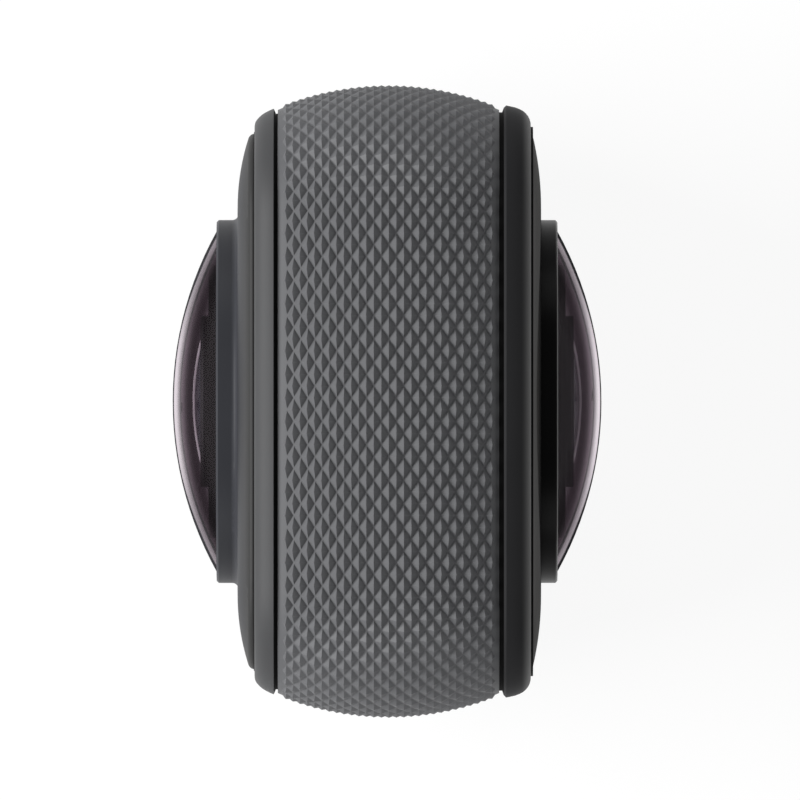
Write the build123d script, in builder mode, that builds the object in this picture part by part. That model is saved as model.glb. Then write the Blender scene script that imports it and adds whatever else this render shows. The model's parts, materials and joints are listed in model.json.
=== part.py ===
"""Pocket 360 degree camera with two back-to-back fisheye lenses, standing upright.

X runs across the width, -Y is the front, +Y is the rear with the screen, and +Z is up.
The origin is the mouth of the tripod socket, in the middle of the foot. Sizes are in mm.
An inset is measured inwards from the crown of the grip band, all round the body's outline.
"""

import os
from math import sqrt

from build123d import *

os.makedirs("parts", exist_ok=True)

# Body outline
body_width = 46.0
body_height = 113.0
foot_height = 0.4
crown_corner_radius = 9.9

# Grip band, the crowned strip round the body's edge, and the dark groove on each side of it
band_front_depth = 7.92
band_rear_depth = 8.14
band_crown_rise = 1.58
band_thickness = 2.3
front_groove = 0.26
rear_groove = 0.33

# Chassis, the cast frame inside the band
chassis_wall = 1.4
rib_thickness = 1.0
lug_overlap = 0.5

# Frames that cap the chassis and hold the panels
front_frame_edge_inset = 1.62
front_frame_crest_inset = 2.62
front_frame_step_inset = 3.5
front_frame_depth = 1.27
front_ledge_depth = 0.6
rear_frame_edge_inset = 1.5
rear_frame_waist_inset = 1.8
rear_frame_shoulder_inset = 2.3
rear_frame_crest_inset = 2.6
rear_frame_step_inset = 3.1
rear_frame_depth = 1.88
rear_frame_height_shares = (0.08, 0.37, 0.6, 0.83)
rear_ledge_depth = 0.53
ledge_inset = 4.9

# Panels
panel_gap = 0.07
panel_curve_share = 0.85
front_panel_thickness = 2.07
front_panel_edge_thickness = 1.18
front_panel_pocket_depth = 0.8
front_panel_pocket_margin = 3.43
front_panel_pocket_rise = 9.2
front_panel_pocket_drop = 30.4
front_panel_pocket_rows = 4
front_panel_rib = 1.2
rear_panel_thickness = 2.19
rear_panel_edge_thickness = 1.46

# Lens modules, measured from the lens axis and from each panel's face
lens_drop = 23.0
ring_radius = 13.25
ring_flare = 0.45
ring_rim_width = 0.75
ring_shoulder = 1.3
ring_neck_wall = 0.65
ring_neck_gap = 0.15
ring_chamfer = 0.15
front_ring_height = 1.58
rear_ring_height = 1.24
glass_seat_drop = 0.83
glass_gap = 0.06
dome_rise = 3.22
dome_wall = 0.5
dome_foot_width = 0.54
baffle_step_width = 1.24
baffle_dome_gap = 0.1
baffle_nose_radius = 6.25
baffle_nose_rise = 1.17
baffle_nose_wall = 0.55
baffle_flange_thickness = 0.9
baffle_flange_drop = 1.83
baffle_seat_thickness = 0.35
element_gap = 0.06
element_seat_rise = 0.17
element_seat_width = 0.5
element_edge_thickness = 0.7
element_cap_height = 0.9
element_hollow_height = 0.7
barrel_gap = 0.1
barrel_wall = 1.6
barrel_flange_lap = 0.25
barrel_flange_thickness = 0.8
barrel_waist_step = 0.8
barrel_tail_step = 2.2
barrel_tail_length = 2.6
barrel_throat_radius = 4.0
barrel_throat_length = 3.9
barrel_foot_size = 20.0
barrel_foot_thickness = 1.0
barrel_foot_corner = 1.5
gasket_thickness = 0.58
gasket_margin = 0.1

# Lens cradle and sensor boards
cradle_thickness = 1.6
cradle_side_gap = 0.4
cradle_reach = 14.4
cradle_corner = 3.0
cradle_lug_width = 4.3
cradle_lug_height = 4.0
cradle_lug_depth = 3.2
cradle_screw_inset = 2.5
cradle_screw_reach = 12.0
sensor_board_thickness = 0.8
sensor_board_margin = 0.5
sensor_board_tail = 2.7
sensor_width = 7.6
sensor_height = 5.8
sensor_thickness = 1.2
sensor_cavity_radius = 5.0
sensor_cavity_length = 1.5

# Screws
screw_head_radius = 1.2
screw_head_thickness = 0.6
screw_shank_radius = 0.6
screw_hole_gap = 0.1
frame_screw_length = 2.6
lens_screw_inset = 1.5
lens_screw_tip_gap = 0.15
base_screw_head_radius = 1.5
base_screw_head_depth = 0.9
base_screw_length = 5.4
base_screw_inset = 3.5
base_boss_radius = 2.2
base_boss_height = 2.6

# Foot plate and tripod bush
base_plate_end_gap = 9.0
base_plate_depth = 12.4
base_plate_corner = 4.0
base_plate_edge = 0.3
base_plate_gap = 0.15
bush_radius = 4.4
bush_gap = 0.05
bush_flange_radius = 5.6
bush_flange_thickness = 0.8
bush_length = 8.0
bush_bore_radius = 3.175
bush_bore_depth = 6.5
bush_mouth_chamfer = 0.3
bush_boss_radius = 6.2

# Main board, shield and charging port
board_lens_gap = 3.0
board_height = 18.0
board_thickness = 0.8
board_left_gap = 2.5
board_right_gap = 0.7
board_lug_depth = 2.5
board_lug_height = 3.4
board_lug_reach = 5.2
board_screw_reach = 3.5
shield_side_gap = 4.8
shield_height = 1.4
shield_margin_low = 1.4
shield_margin_high = 2.6
shield_corner = 0.8
tongue_margin = 0.8
port_rise = 8.0
port_width = 8.94
port_height = 3.26
port_length = 7.3
port_overhang = 0.2
port_wall = 0.3
port_tongue_thickness = 0.7
port_tongue_width = 6.7
port_tongue_recess = 1.0
port_back_wall = 1.0
port_window_gap = 0.3

# Battery, its bay and its door
battery_edge = 0.8
battery_setback = 1.5
bay_gap = 0.3
bay_wall = 1.0
bay_roof_gap = 2.0
door_gap = 0.15
door_standoff = 0.25
door_top_margin = 1.4
door_side_lap = 0.6
door_corner = 2.0
door_plug_inset = 1.1
door_plug_radius = 1.0
battery_seal_width = 1.0
battery_seal_groove = 0.6
battery_seal_rise = 0.1
battery_seal_gap = 0.05

# Latches that slide on the battery door
latch_end_margin = 3.0
latch_knob_length = 5.0
latch_knob_width = 4.9
latch_travel = 1.8
latch_gap = 0.1
latch_side_gap = 0.15
latch_pocket_depth = 1.1
latch_recess = 0.15
latch_stem_size = 2.0
latch_blade_width = 4.0
latch_blade_thickness = 0.45
latch_blade_margin = 0.3
latch_groove_width = 0.4
latch_groove_depth = 0.3
latch_groove_spacing = 1.0
latch_groove_count = 3

# Battery contacts in the bay's end wall
contact_drop_share = 0.177
contact_block_width = 8.0
contact_block_height = 6.0
contact_block_depth = 2.6
contact_block_gap = 0.1
contact_pin_radius = 0.45
contact_pin_rise = 0.25
contact_pin_spacing = 1.8
contact_pin_count = 4

# Memory card slot, on the bay's roof
card_slot_length = 15.8
card_slot_height = 1.5
card_slot_side = 0.8
card_slot_back = 1.2
card_mouth_width = 11.6
card_mouth_height = 0.9

# Charging door, hinged at its top
door_bridge = 1.8
usb_door_lap = 1.3
usb_door_corner = 1.2
usb_hinge_depth = 1.4
usb_hinge_margin = 0.6
usb_pin_radius = 0.35
usb_pin_gap = 0.02
usb_pin_hold = 1.0
usb_seal_height = 11.4
usb_seal_width = 6.6
usb_seal_ring = 0.7
usb_seal_thickness = 0.8
usb_seal_corner = 2.6
usb_well_depth = 0.6

# Side buttons, on the left, and their switch board
side_button_width = 4.0
power_button_length = 8.0
power_button_drop = 5.0
quick_button_length = 6.0
quick_button_rise = 2.8
side_button_recess = 0.1
side_button_gap = 0.15
side_button_lip = 0.8
side_button_flange = 0.55
side_button_pocket = 1.05
side_button_float = 0.05
side_button_stem_radius = 0.9
side_button_stem_reach = 0.3
side_switch_gap = 0.4
side_switch_height = 0.7
side_board_thickness = 0.6
side_board_width = 5.8
side_board_gap = 0.6
side_board_overhang_low = 2.4
side_board_overhang_high = 0.2
side_post_height = 1.2
switch_size = 3.0

# Rear buttons and their board
rear_button_z = 15.0
shutter_button_radius = 5.5
lens_button_radius = 4.0
rear_button_gap = 0.15
rear_button_lip = 0.7
rear_button_flange = 0.5
rear_button_float = 0.04
rear_button_rise = 0.2
rear_button_edge = 0.35
rear_button_dish = 0.25
rear_switch_gap = 0.35
rear_switch_height = 0.6
button_board_width = 26.0
button_board_height = 9.0
button_board_thickness = 0.5

# Display
display_side_gap = 0.2
display_rise = 9.0
display_drop = 16.0
display_thickness = 1.6
display_pocket_depth = 1.3
display_gap = 0.2
display_corner = 1.0

# Speaker, beside the battery
speaker_rise_share = 0.12
speaker_height_share = 0.39
speaker_width = 10.0
speaker_thickness = 2.7
speaker_gap = 0.1
speaker_edge = 0.5
speaker_slot_length = 7.0
speaker_slot_width = 0.8
speaker_slot_spacing = 1.7
speaker_slot_count = 3
speaker_mesh_thickness = 0.3
speaker_mesh_margin = 1.0
speaker_mesh_gap = 0.05

# Microphones and indicator lights
mic_width = 3.5
mic_height = 2.65
mic_depth = 1.0
mic_port_radius = 0.5
mic_button_gap = 0.05
front_mic_drop = 24.0
front_light_drop = 19.2
rear_light_rise = 5.6
light_radius = 0.9
light_gap = 0.05
light_flange_radius = 1.5
light_flange_thickness = 0.5

# Ribbon cables
ribbon_thickness = 0.15
ribbon_bend = 1.0
display_ribbon_width = 8.0
display_ribbon_top_drop = 2.6
display_ribbon_turn_drop = 8.6
display_plug_rise = 2.9
sensor_ribbon_width = 5.4
sensor_ribbon_margin = 0.5
sensor_ribbon_gap = 0.6
sensor_ribbon_top_rise = 2.5
sensor_ribbon_turn_rise = 2.0
sensor_plug_drop = 4.1
connector_height = 1.0
connector_length = 2.8
connector_margin = 0.4

# Every cut runs past the faces it opens by this much
overrun = 1.0

# Depths and insets that follow from the sizes above
half_width = body_width / 2
crown_height = body_height - foot_height
crown_middle_z = (body_height + foot_height) / 2
straight_low_z = foot_height + crown_corner_radius
band_middle_y = (band_rear_depth - band_front_depth) / 2
chassis_front_y = -(band_front_depth + front_groove)
chassis_rear_y = band_rear_depth + rear_groove
chassis_depth = chassis_rear_y - chassis_front_y
cavity_inset = band_thickness + chassis_wall
chassis_face_x = half_width - band_thickness
cavity_x = half_width - cavity_inset
floor_z = foot_height + cavity_inset
foot_top_z = foot_height + band_thickness
front_panel_back_y = chassis_front_y - front_ledge_depth
rear_panel_back_y = chassis_rear_y + rear_ledge_depth
front_panel_inset = front_frame_step_inset + panel_gap
rear_panel_inset = rear_frame_step_inset + panel_gap

# Lens modules: each depth is a distance from the body's middle plane, towards either side
lens_z = body_height - lens_drop
lens_axis = Axis((0, 0, lens_z), (0, 1, 0))
lens_sides = (("front", -1), ("rear", 1))
panel_backs = {"front": -front_panel_back_y, "rear": rear_panel_back_y}
panel_faces = {
    "front": panel_backs["front"] + front_panel_thickness,
    "rear": panel_backs["rear"] + rear_panel_thickness,
}
ring_faces = {
    "front": panel_faces["front"] + front_ring_height,
    "rear": panel_faces["rear"] + rear_ring_height,
}
glass_seat_radius = ring_radius - ring_rim_width
ring_neck_radius = ring_radius - ring_shoulder
ring_bore_radius = ring_neck_radius - ring_neck_wall
panel_hole_radius = ring_neck_radius + ring_neck_gap
dome_rim_radius = glass_seat_radius - glass_gap
dome_radius = (dome_rim_radius**2 + dome_rise**2) / (2 * dome_rise)
tube_radius = ring_bore_radius - barrel_gap
tube_bore_radius = tube_radius - barrel_wall
barrel_flange_radius = ring_radius + barrel_flange_lap
barrel_flange_depth = panel_backs["front"] - gasket_thickness
baffle_step_radius = tube_radius - baffle_step_width
element_radius = baffle_nose_radius - baffle_nose_wall - element_gap
cradle_face_depth = cradle_thickness / 2
sensor_face_depth = cradle_face_depth + sensor_board_thickness
lens_screw_seat = sensor_face_depth + barrel_foot_thickness
lens_screw_spacing = barrel_foot_size - 2 * lens_screw_inset
sensor_board_reach = barrel_foot_size / 2 + sensor_board_margin
sensor_board_low_z = lens_z - sensor_board_reach - sensor_board_tail
cradle_low_z = lens_z - cradle_reach

# Heights from the lens modules down: main board, card slot, battery bay
board_high_z = cradle_low_z - board_lens_gap
board_low_z = board_high_z - board_height
card_low_z = board_low_z - bay_roof_gap - card_slot_height
card_middle_z = card_low_z + card_slot_height / 2
battery_low_z = straight_low_z + door_plug_inset
bay_low_z = battery_low_z - bay_gap
bay_high_z = card_low_z - bay_wall
battery_high_z = bay_high_z - bay_gap
battery_height = battery_high_z - battery_low_z
battery_middle_z = (battery_low_z + battery_high_z) / 2
contact_z = battery_high_z - contact_drop_share * battery_height
port_z = board_low_z + port_rise
power_button_z = board_high_z - power_button_drop
quick_button_z = board_low_z + quick_button_rise
side_board_low_z = board_low_z - side_board_overhang_low
side_board_high_z = board_high_z + side_board_overhang_high
display_low_z = rear_button_z + display_rise
display_height = lens_z - display_drop - display_low_z
display_middle_z = display_low_z + display_height / 2
speaker_height = speaker_height_share * battery_height
speaker_low_z = battery_low_z + speaker_rise_share * battery_height
speaker_middle_z = speaker_low_z + speaker_height / 2
rear_light_z = rear_button_z + rear_light_rise

# Depths from the rear panel in: buttons, switches, battery bay
button_board_y = (
    rear_panel_back_y
    - rear_button_float
    - rear_button_flange
    - rear_switch_gap
    - rear_switch_height
    - button_board_thickness
)
bay_rear_y = button_board_y - bay_wall
bay_front_y = 2 * band_middle_y - bay_rear_y
battery_thickness = bay_rear_y - bay_front_y - 2 * bay_gap
board_front_y = cradle_face_depth + shield_height
board_rear_y = board_front_y + board_thickness
side_board_rear_y = board_rear_y - side_board_gap
side_board_front_y = side_board_rear_y - side_board_width
port_y = board_front_y - port_height / 2
display_back_y = rear_panel_back_y + display_pocket_depth - display_thickness

# Places across the width
bay_end_x = -cavity_x + speaker_thickness + speaker_gap + bay_wall
battery_inner_x = bay_end_x + bay_gap
battery_outer_x = cavity_x - battery_setback
board_left_x = -(cavity_x - board_left_gap)
sensor_ribbon_x = sensor_board_reach - sensor_ribbon_margin - sensor_ribbon_width / 2
shield_left_x = board_left_x + shield_side_gap
shield_right_x = sensor_ribbon_x - sensor_ribbon_width / 2 - sensor_ribbon_gap
port_mouth_x = cavity_x + port_overhang
display_width = 2 * (half_width - ledge_inset - display_side_gap)
base_plate_width = 2 * (half_width - base_plate_end_gap)
base_screw_x = base_plate_width / 2 - base_screw_inset
rear_button_x = shutter_button_radius + rear_button_lip + mic_button_gap + mic_width / 2
cradle_screws_at = [
    (side * (cavity_x - cradle_screw_inset), lens_z + rise)
    for side in (-1, 1)
    for rise in (-cradle_screw_reach, cradle_screw_reach)
]
board_screws_at = [
    (side * (cavity_x - board_screw_reach), z)
    for side in (-1, 1)
    for z in (board_low_z + board_lug_height / 2, board_high_z - board_lug_height / 2)
]

# Doors on the right and buttons on the left, both cut from the band's own crown
door_back_x = chassis_face_x + door_standoff
battery_door_width = battery_thickness + 2 * door_side_lap
battery_door_high_z = board_low_z - bay_roof_gap + door_top_margin
battery_door_height = battery_door_high_z - straight_low_z
battery_door_middle_z = (battery_door_high_z + straight_low_z) / 2
battery_seal_x = cavity_x + battery_seal_rise
usb_door_width = usb_seal_width + 2 * usb_door_lap
usb_door_low_z = battery_door_high_z + door_bridge
usb_hinge_x = half_width - usb_hinge_depth
usb_hinge_z = port_z + usb_seal_height / 2 + usb_hinge_margin + usb_hinge_depth + 2 * door_gap
usb_pin_length = usb_door_width + 2 * usb_pin_hold
latch_floor_x = half_width - latch_pocket_depth
latch_ends = (("lower", straight_low_z, 1), ("upper", battery_door_high_z, -1))
side_flange_x = -(chassis_face_x + side_button_pocket - side_button_float)
side_stem_x = -(cavity_x - side_button_stem_reach)
side_board_x = side_stem_x + side_switch_gap + side_switch_height
side_buttons = (
    ("power_button", power_button_z, power_button_length),
    ("quick_button", quick_button_z, quick_button_length),
)


def upright(y):
    """Sketch plane at depth y, drawn in X and Z. Positive extrusions run to the front."""
    return Plane.XZ.offset(-y)


def outline(inset, y):
    """The body's rounded outline, inset from the crown, at depth y."""
    with BuildSketch(upright(y)) as shape:
        with Locations((0, crown_middle_z)):
            RectangleRounded(
                body_width - 2 * inset, crown_height - 2 * inset, crown_corner_radius - inset
            )
    return shape.sketch


def rounded_face(plane, center, width, height, radius):
    """Rounded rectangle on a plane, as a face ready to extrude."""
    with BuildSketch(plane) as shape:
        with Locations(center):
            RectangleRounded(width, height, radius)
    return shape.sketch


def side_slot(x, y, z, width, length):
    """Slot with round ends on a plane that faces sideways, long along Z."""
    with BuildSketch(Plane.YZ.offset(x)) as shape:
        with Locations((y, z)):
            SlotOverall(length, width, rotation=90)
    return shape.sketch


def block(x_limits, y_limits, z_limits, mode=Mode.ADD):
    """Box between two limits along each axis, added to the open part."""
    limits = (x_limits, y_limits, z_limits)
    with Locations(tuple((low + high) / 2 for low, high in limits)):
        Box(*(high - low for low, high in limits), mode=mode)


def crown_path():
    """Closed path along the crown of the band, starting at the middle of the bottom."""
    run_x = half_width - crown_corner_radius
    with BuildLine(Plane.XZ) as rim:
        bottom = Line((0, foot_height), (run_x, foot_height))
        low_right = JernArc(bottom @ 1, bottom % 1, crown_corner_radius, 90)
        right = Line(low_right @ 1, (half_width, body_height - crown_corner_radius))
        high_right = JernArc(right @ 1, right % 1, crown_corner_radius, 90)
        top = Line(high_right @ 1, (-run_x, body_height))
        high_left = JernArc(top @ 1, top % 1, crown_corner_radius, 90)
        left = Line(high_left @ 1, (-half_width, foot_height + crown_corner_radius))
        low_left = JernArc(left @ 1, left % 1, crown_corner_radius, 90)
        Line(low_left @ 1, bottom @ 0)
    return rim.wire()


def wrapped(points):
    """Ring whose section, given as (depth, inset) points, is swept round the outline."""
    with BuildPart() as ring:
        with BuildSketch(Plane.YZ):
            with BuildLine():
                Polyline(*[(y, foot_height + inset) for y, inset in points], close=True)
            make_face()
        sweep(path=crown_path())
    return ring.part


def crown_skin(recess, depth):
    """The band's crowned surface, sunk by recess, with its inner face at an inset of depth."""
    edge_z = foot_height + band_crown_rise + recess
    with BuildPart() as skin:
        with BuildSketch(Plane.YZ):
            with BuildLine():
                crown = ThreePointArc(
                    (-band_front_depth, edge_z),
                    (band_middle_y, foot_height + recess),
                    (band_rear_depth, edge_z),
                )
                Polyline(
                    crown @ 1,
                    (band_rear_depth, foot_height + depth),
                    (-band_front_depth, foot_height + depth),
                    crown @ 0,
                )
            make_face()
        sweep(path=crown_path())
    return skin.part


def lens_plane(side):
    """Section plane through a lens axis: first the radius, then the depth outwards.

    side is -1 for the front lens and 1 for the rear one.
    """
    return Plane(origin=(0, 0, lens_z), x_dir=(0, 0, 1), z_dir=(-side, 0, 0))


def turned(side, points):
    """Solid of revolution about the lens axis from (radius, depth) points."""
    with BuildPart() as body:
        with BuildSketch(lens_plane(side)):
            with BuildLine():
                Polyline(*points, close=True)
            make_face()
        revolve(axis=lens_axis)
    return body.part


def cap_drop(sphere_radius, reach):
    """How far a spherical cap has fallen below its apex at some reach from its axis."""
    return sphere_radius - sqrt(sphere_radius**2 - reach**2)


def cap_arc(apex, edge):
    """Arc of a shallow spherical cap, drawn from its apex on the axis to its edge."""
    reach = edge[0] - apex[0]
    rise = edge[1] - apex[1]
    sphere_radius = (reach**2 + rise**2) / (2 * abs(rise))
    middle_drop = cap_drop(sphere_radius, reach / 2)
    middle = (apex[0] + reach / 2, apex[1] + middle_drop * rise / abs(rise))
    return ThreePointArc(apex, middle, edge)


# Chassis: ring, battery bay, bosses, lugs and ribs in one casting
with BuildPart() as chassis:
    extrude(outline(band_thickness, chassis_rear_y), amount=chassis_depth)
    extrude(outline(cavity_inset, chassis_rear_y), amount=chassis_depth, mode=Mode.SUBTRACT)
    block(
        (bay_end_x - bay_wall, cavity_x + lug_overlap),
        (bay_front_y - bay_wall, bay_rear_y + bay_wall),
        (bay_low_z - bay_wall, bay_high_z + bay_wall),
    )
    # Boss over the tripod bush, and one over each base screw
    with BuildSketch(Plane.XY.offset(floor_z - lug_overlap)):
        Circle(bush_boss_radius)
    extrude(amount=bay_low_z - floor_z)
    with BuildSketch(Plane.XY.offset(floor_z - lug_overlap)):
        with Locations((-base_screw_x, 0), (base_screw_x, 0)):
            Circle(base_boss_radius)
    extrude(amount=base_boss_height + lug_overlap)
    # Lugs behind the lens cradle and the main board, and posts behind the side switches
    for side in (-1, 1):
        lug_x = sorted((side * (cavity_x - cradle_lug_width), side * (cavity_x + lug_overlap)))
        for z in (lens_z - cradle_screw_reach, lens_z + cradle_screw_reach):
            block(
                lug_x,
                (cradle_face_depth, cradle_face_depth + cradle_lug_depth),
                (z - cradle_lug_height / 2, z + cradle_lug_height / 2),
            )
        lug_x = sorted((side * (cavity_x - board_lug_reach), side * (cavity_x + lug_overlap)))
        for z in (board_low_z, board_high_z - board_lug_height):
            block(lug_x, (board_rear_y, board_rear_y + board_lug_depth), (z, z + board_lug_height))
    for z in (side_board_low_z, side_board_high_z - side_post_height):
        block(
            (-cavity_x - lug_overlap, side_board_x),
            (side_board_front_y, side_board_rear_y),
            (z, z + side_post_height),
        )
    # Ribs between the main board and the lens modules
    rib_z = (board_high_z + rib_thickness, board_high_z + 2 * rib_thickness)
    block((-cavity_x - lug_overlap, cavity_x + lug_overlap), (chassis_front_y, -board_rear_y), rib_z)
    block(
        (-cavity_x - lug_overlap, cavity_x + lug_overlap),
        (board_rear_y + board_lug_depth, chassis_rear_y),
        rib_z,
    )
    # Battery bay, open to the right
    block(
        (bay_end_x, chassis_face_x + overrun),
        (bay_front_y, bay_rear_y),
        (bay_low_z, bay_high_z),
        mode=Mode.SUBTRACT,
    )
    block(
        (bay_end_x - bay_wall - overrun, bay_end_x + overrun),
        (
            band_middle_y - contact_block_width / 2 - contact_block_gap,
            band_middle_y + contact_block_width / 2 + contact_block_gap,
        ),
        (
            contact_z - contact_block_height / 2 - contact_block_gap,
            contact_z + contact_block_height / 2 + contact_block_gap,
        ),
        mode=Mode.SUBTRACT,
    )
    block(
        (cavity_x - overrun, chassis_face_x + overrun),
        (band_middle_y - card_mouth_width / 2, band_middle_y + card_mouth_width / 2),
        (card_middle_z - card_mouth_height / 2, card_middle_z + card_mouth_height / 2),
        mode=Mode.SUBTRACT,
    )
    # Charging port window, the well for the door's seal, and room for the hinge knuckle
    extrude(
        side_slot(
            cavity_x - overrun,
            port_y,
            port_z,
            port_height + 2 * port_window_gap,
            port_width + 2 * port_window_gap,
        ),
        amount=chassis_wall + 2 * overrun,
        mode=Mode.SUBTRACT,
    )
    extrude(
        rounded_face(
            Plane.YZ.offset(chassis_face_x - usb_well_depth),
            (port_y, port_z),
            usb_seal_width + 2 * door_gap,
            usb_seal_height + 2 * door_gap,
            usb_seal_corner + door_gap,
        ),
        amount=usb_well_depth + overrun,
        mode=Mode.SUBTRACT,
    )
    with BuildSketch(Plane.XZ.offset(-band_middle_y)):
        with Locations((usb_hinge_x, usb_hinge_z)):
            Circle(usb_hinge_depth + door_gap)
    extrude(amount=usb_door_width / 2 + door_gap, both=True, mode=Mode.SUBTRACT)
    # Holes for the side button stems and the speaker
    with BuildSketch(Plane.YZ.offset(-chassis_face_x - overrun)):
        with Locations((band_middle_y, power_button_z), (band_middle_y, quick_button_z)):
            Circle(side_button_stem_radius + side_button_gap)
        with Locations((band_middle_y, speaker_middle_z)):
            with GridLocations(speaker_slot_spacing, speaker_slot_spacing, 1, speaker_slot_count):
                SlotOverall(speaker_slot_length, speaker_slot_width)
    extrude(amount=chassis_wall + 2 * overrun, mode=Mode.SUBTRACT)
    # Sockets for the bush, its flange's face being the ring itself, and for the screws
    with BuildSketch(Plane.XY):
        Circle(bush_radius + bush_gap)
    extrude(amount=bush_length, mode=Mode.SUBTRACT)
    with BuildSketch(Plane.XY):
        with Locations((-base_screw_x, 0), (base_screw_x, 0)):
            Circle(screw_shank_radius + screw_hole_gap)
    extrude(amount=base_screw_length + screw_hole_gap, mode=Mode.SUBTRACT)
    with BuildSketch(upright(cradle_face_depth)):
        with Locations(*cradle_screws_at):
            Circle(screw_shank_radius + screw_hole_gap)
    extrude(amount=-(cradle_lug_depth - rib_thickness), mode=Mode.SUBTRACT)
    with BuildSketch(upright(board_rear_y)):
        with Locations(*board_screws_at):
            Circle(screw_shank_radius + screw_hole_gap)
    extrude(amount=-(board_lug_depth - screw_hole_gap), mode=Mode.SUBTRACT)
chassis.part.label = "chassis"
export_step(chassis.part, "parts/chassis.step")

# Grip band: the crowned strip, with windows for the foot, doors, buttons and speaker
with BuildPart() as grip_band:
    add(crown_skin(0, band_thickness))
    extrude(
        rounded_face(
            Plane.XY,
            (0, 0),
            base_plate_width + 2 * base_plate_gap,
            base_plate_depth + 2 * base_plate_gap,
            base_plate_corner + base_plate_gap,
        ),
        amount=floor_z,
        mode=Mode.SUBTRACT,
    )
    extrude(
        rounded_face(
            Plane.YZ.offset(cavity_x),
            (band_middle_y, battery_door_middle_z),
            battery_door_width + 2 * door_gap,
            battery_door_height + 2 * door_gap,
            door_corner + door_gap,
        ),
        amount=cavity_inset + overrun,
        mode=Mode.SUBTRACT,
    )
    with BuildSketch(Plane.XZ.offset(-band_middle_y)):
        with Locations((usb_hinge_x, usb_hinge_z)):
            Circle(usb_hinge_depth + door_gap)
    extrude(amount=usb_door_width / 2 + door_gap, both=True, mode=Mode.SUBTRACT)
    block(
        (cavity_x, half_width + overrun),
        (band_middle_y - usb_door_width / 2 - door_gap, band_middle_y + usb_door_width / 2 + door_gap),
        (usb_door_low_z - door_gap, usb_hinge_z),
        mode=Mode.SUBTRACT,
    )
    # Notch over the hinge, where the door's outer face comes up when it stands open
    block(
        (usb_hinge_x, half_width + overrun),
        (band_middle_y - usb_door_width / 2 - door_gap, band_middle_y + usb_door_width / 2 + door_gap),
        (usb_hinge_z, usb_hinge_z + usb_hinge_depth + door_gap),
        mode=Mode.SUBTRACT,
    )
    with BuildSketch(Plane.XZ.offset(-band_middle_y)):
        with Locations((usb_hinge_x, usb_hinge_z)):
            Circle(usb_pin_radius + usb_pin_gap)
    extrude(amount=usb_pin_length / 2 + usb_pin_gap, both=True, mode=Mode.SUBTRACT)
    for name, z, length in side_buttons:
        extrude(
            side_slot(
                -cavity_x,
                band_middle_y,
                z,
                side_button_width + 2 * side_button_gap,
                length + 2 * side_button_gap,
            ),
            amount=-(cavity_inset + overrun),
            mode=Mode.SUBTRACT,
        )
        extrude(
            side_slot(
                -cavity_x,
                band_middle_y,
                z,
                side_button_width + 2 * side_button_lip + 2 * side_button_gap,
                length + 2 * side_button_lip + 2 * side_button_gap,
            ),
            amount=-(chassis_wall + side_button_pocket),
            mode=Mode.SUBTRACT,
        )
    with BuildSketch(Plane.YZ.offset(-cavity_x)):
        with Locations((band_middle_y, speaker_middle_z)):
            with GridLocations(speaker_slot_spacing, speaker_slot_spacing, 1, speaker_slot_count):
                SlotOverall(speaker_slot_length, speaker_slot_width)
    extrude(amount=-(cavity_inset + overrun), mode=Mode.SUBTRACT)
    extrude(
        rounded_face(
            Plane.YZ.offset(-cavity_x),
            (band_middle_y, speaker_middle_z),
            speaker_slot_length + 2 * speaker_mesh_margin,
            speaker_slot_count * speaker_slot_spacing + 2 * speaker_mesh_margin,
            speaker_edge,
        ),
        amount=-(chassis_wall + speaker_mesh_thickness + speaker_mesh_gap),
        mode=Mode.SUBTRACT,
    )
grip_band.part.label = "grip_band"
export_step(grip_band.part, "parts/grip_band.step")

# Front frame: a raised lip outside and a ledge inside, swept round the outline
with BuildPart() as front_frame:
    add(
        wrapped(
            (
                (chassis_front_y, front_frame_edge_inset),
                (chassis_front_y - front_frame_depth, front_frame_crest_inset),
                (chassis_front_y - front_frame_depth, front_frame_step_inset),
                (front_panel_back_y, front_frame_step_inset),
                (front_panel_back_y, ledge_inset),
                (chassis_front_y, ledge_inset),
            )
        )
    )
front_frame.part.label = "front_frame"
export_step(front_frame.part, "parts/front_frame.step")

# Rear frame: the same idea with a stepped outside
rear_frame_heights = [chassis_rear_y + share * rear_frame_depth for share in rear_frame_height_shares]
with BuildPart() as rear_frame:
    add(
        wrapped(
            (
                (chassis_rear_y, rear_frame_edge_inset),
                (rear_frame_heights[0], rear_frame_edge_inset),
                (rear_frame_heights[1], rear_frame_waist_inset),
                (rear_frame_heights[2], rear_frame_waist_inset),
                (rear_frame_heights[3], rear_frame_shoulder_inset),
                (chassis_rear_y + rear_frame_depth, rear_frame_crest_inset),
                (chassis_rear_y + rear_frame_depth, rear_frame_step_inset),
                (rear_panel_back_y, rear_frame_step_inset),
                (rear_panel_back_y, ledge_inset),
                (chassis_rear_y, ledge_inset),
            )
        )
    )
rear_frame.part.label = "rear_frame"
export_step(rear_frame.part, "parts/rear_frame.step")


def edge_cutter(side, back_y, edge_thickness, thickness, inset):
    """What is cut from a flat panel to leave its curved edge, swept round the outline."""
    curve_width = panel_curve_share * (crown_corner_radius - inset)
    edge = (back_y + side * edge_thickness, foot_height + inset)
    crest = (back_y + side * thickness, foot_height + inset + curve_width)
    with BuildPart() as cutter:
        with BuildSketch(Plane.YZ):
            with BuildLine():
                TangentArc(crest, edge, tangent=(0, -1))
                Polyline(
                    edge,
                    (edge[0], edge[1] - overrun),
                    (crest[0] + side * overrun, edge[1] - overrun),
                    (crest[0] + side * overrun, crest[1]),
                    crest,
                )
            make_face()
        sweep(path=crown_path())
    return cutter.part


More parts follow.
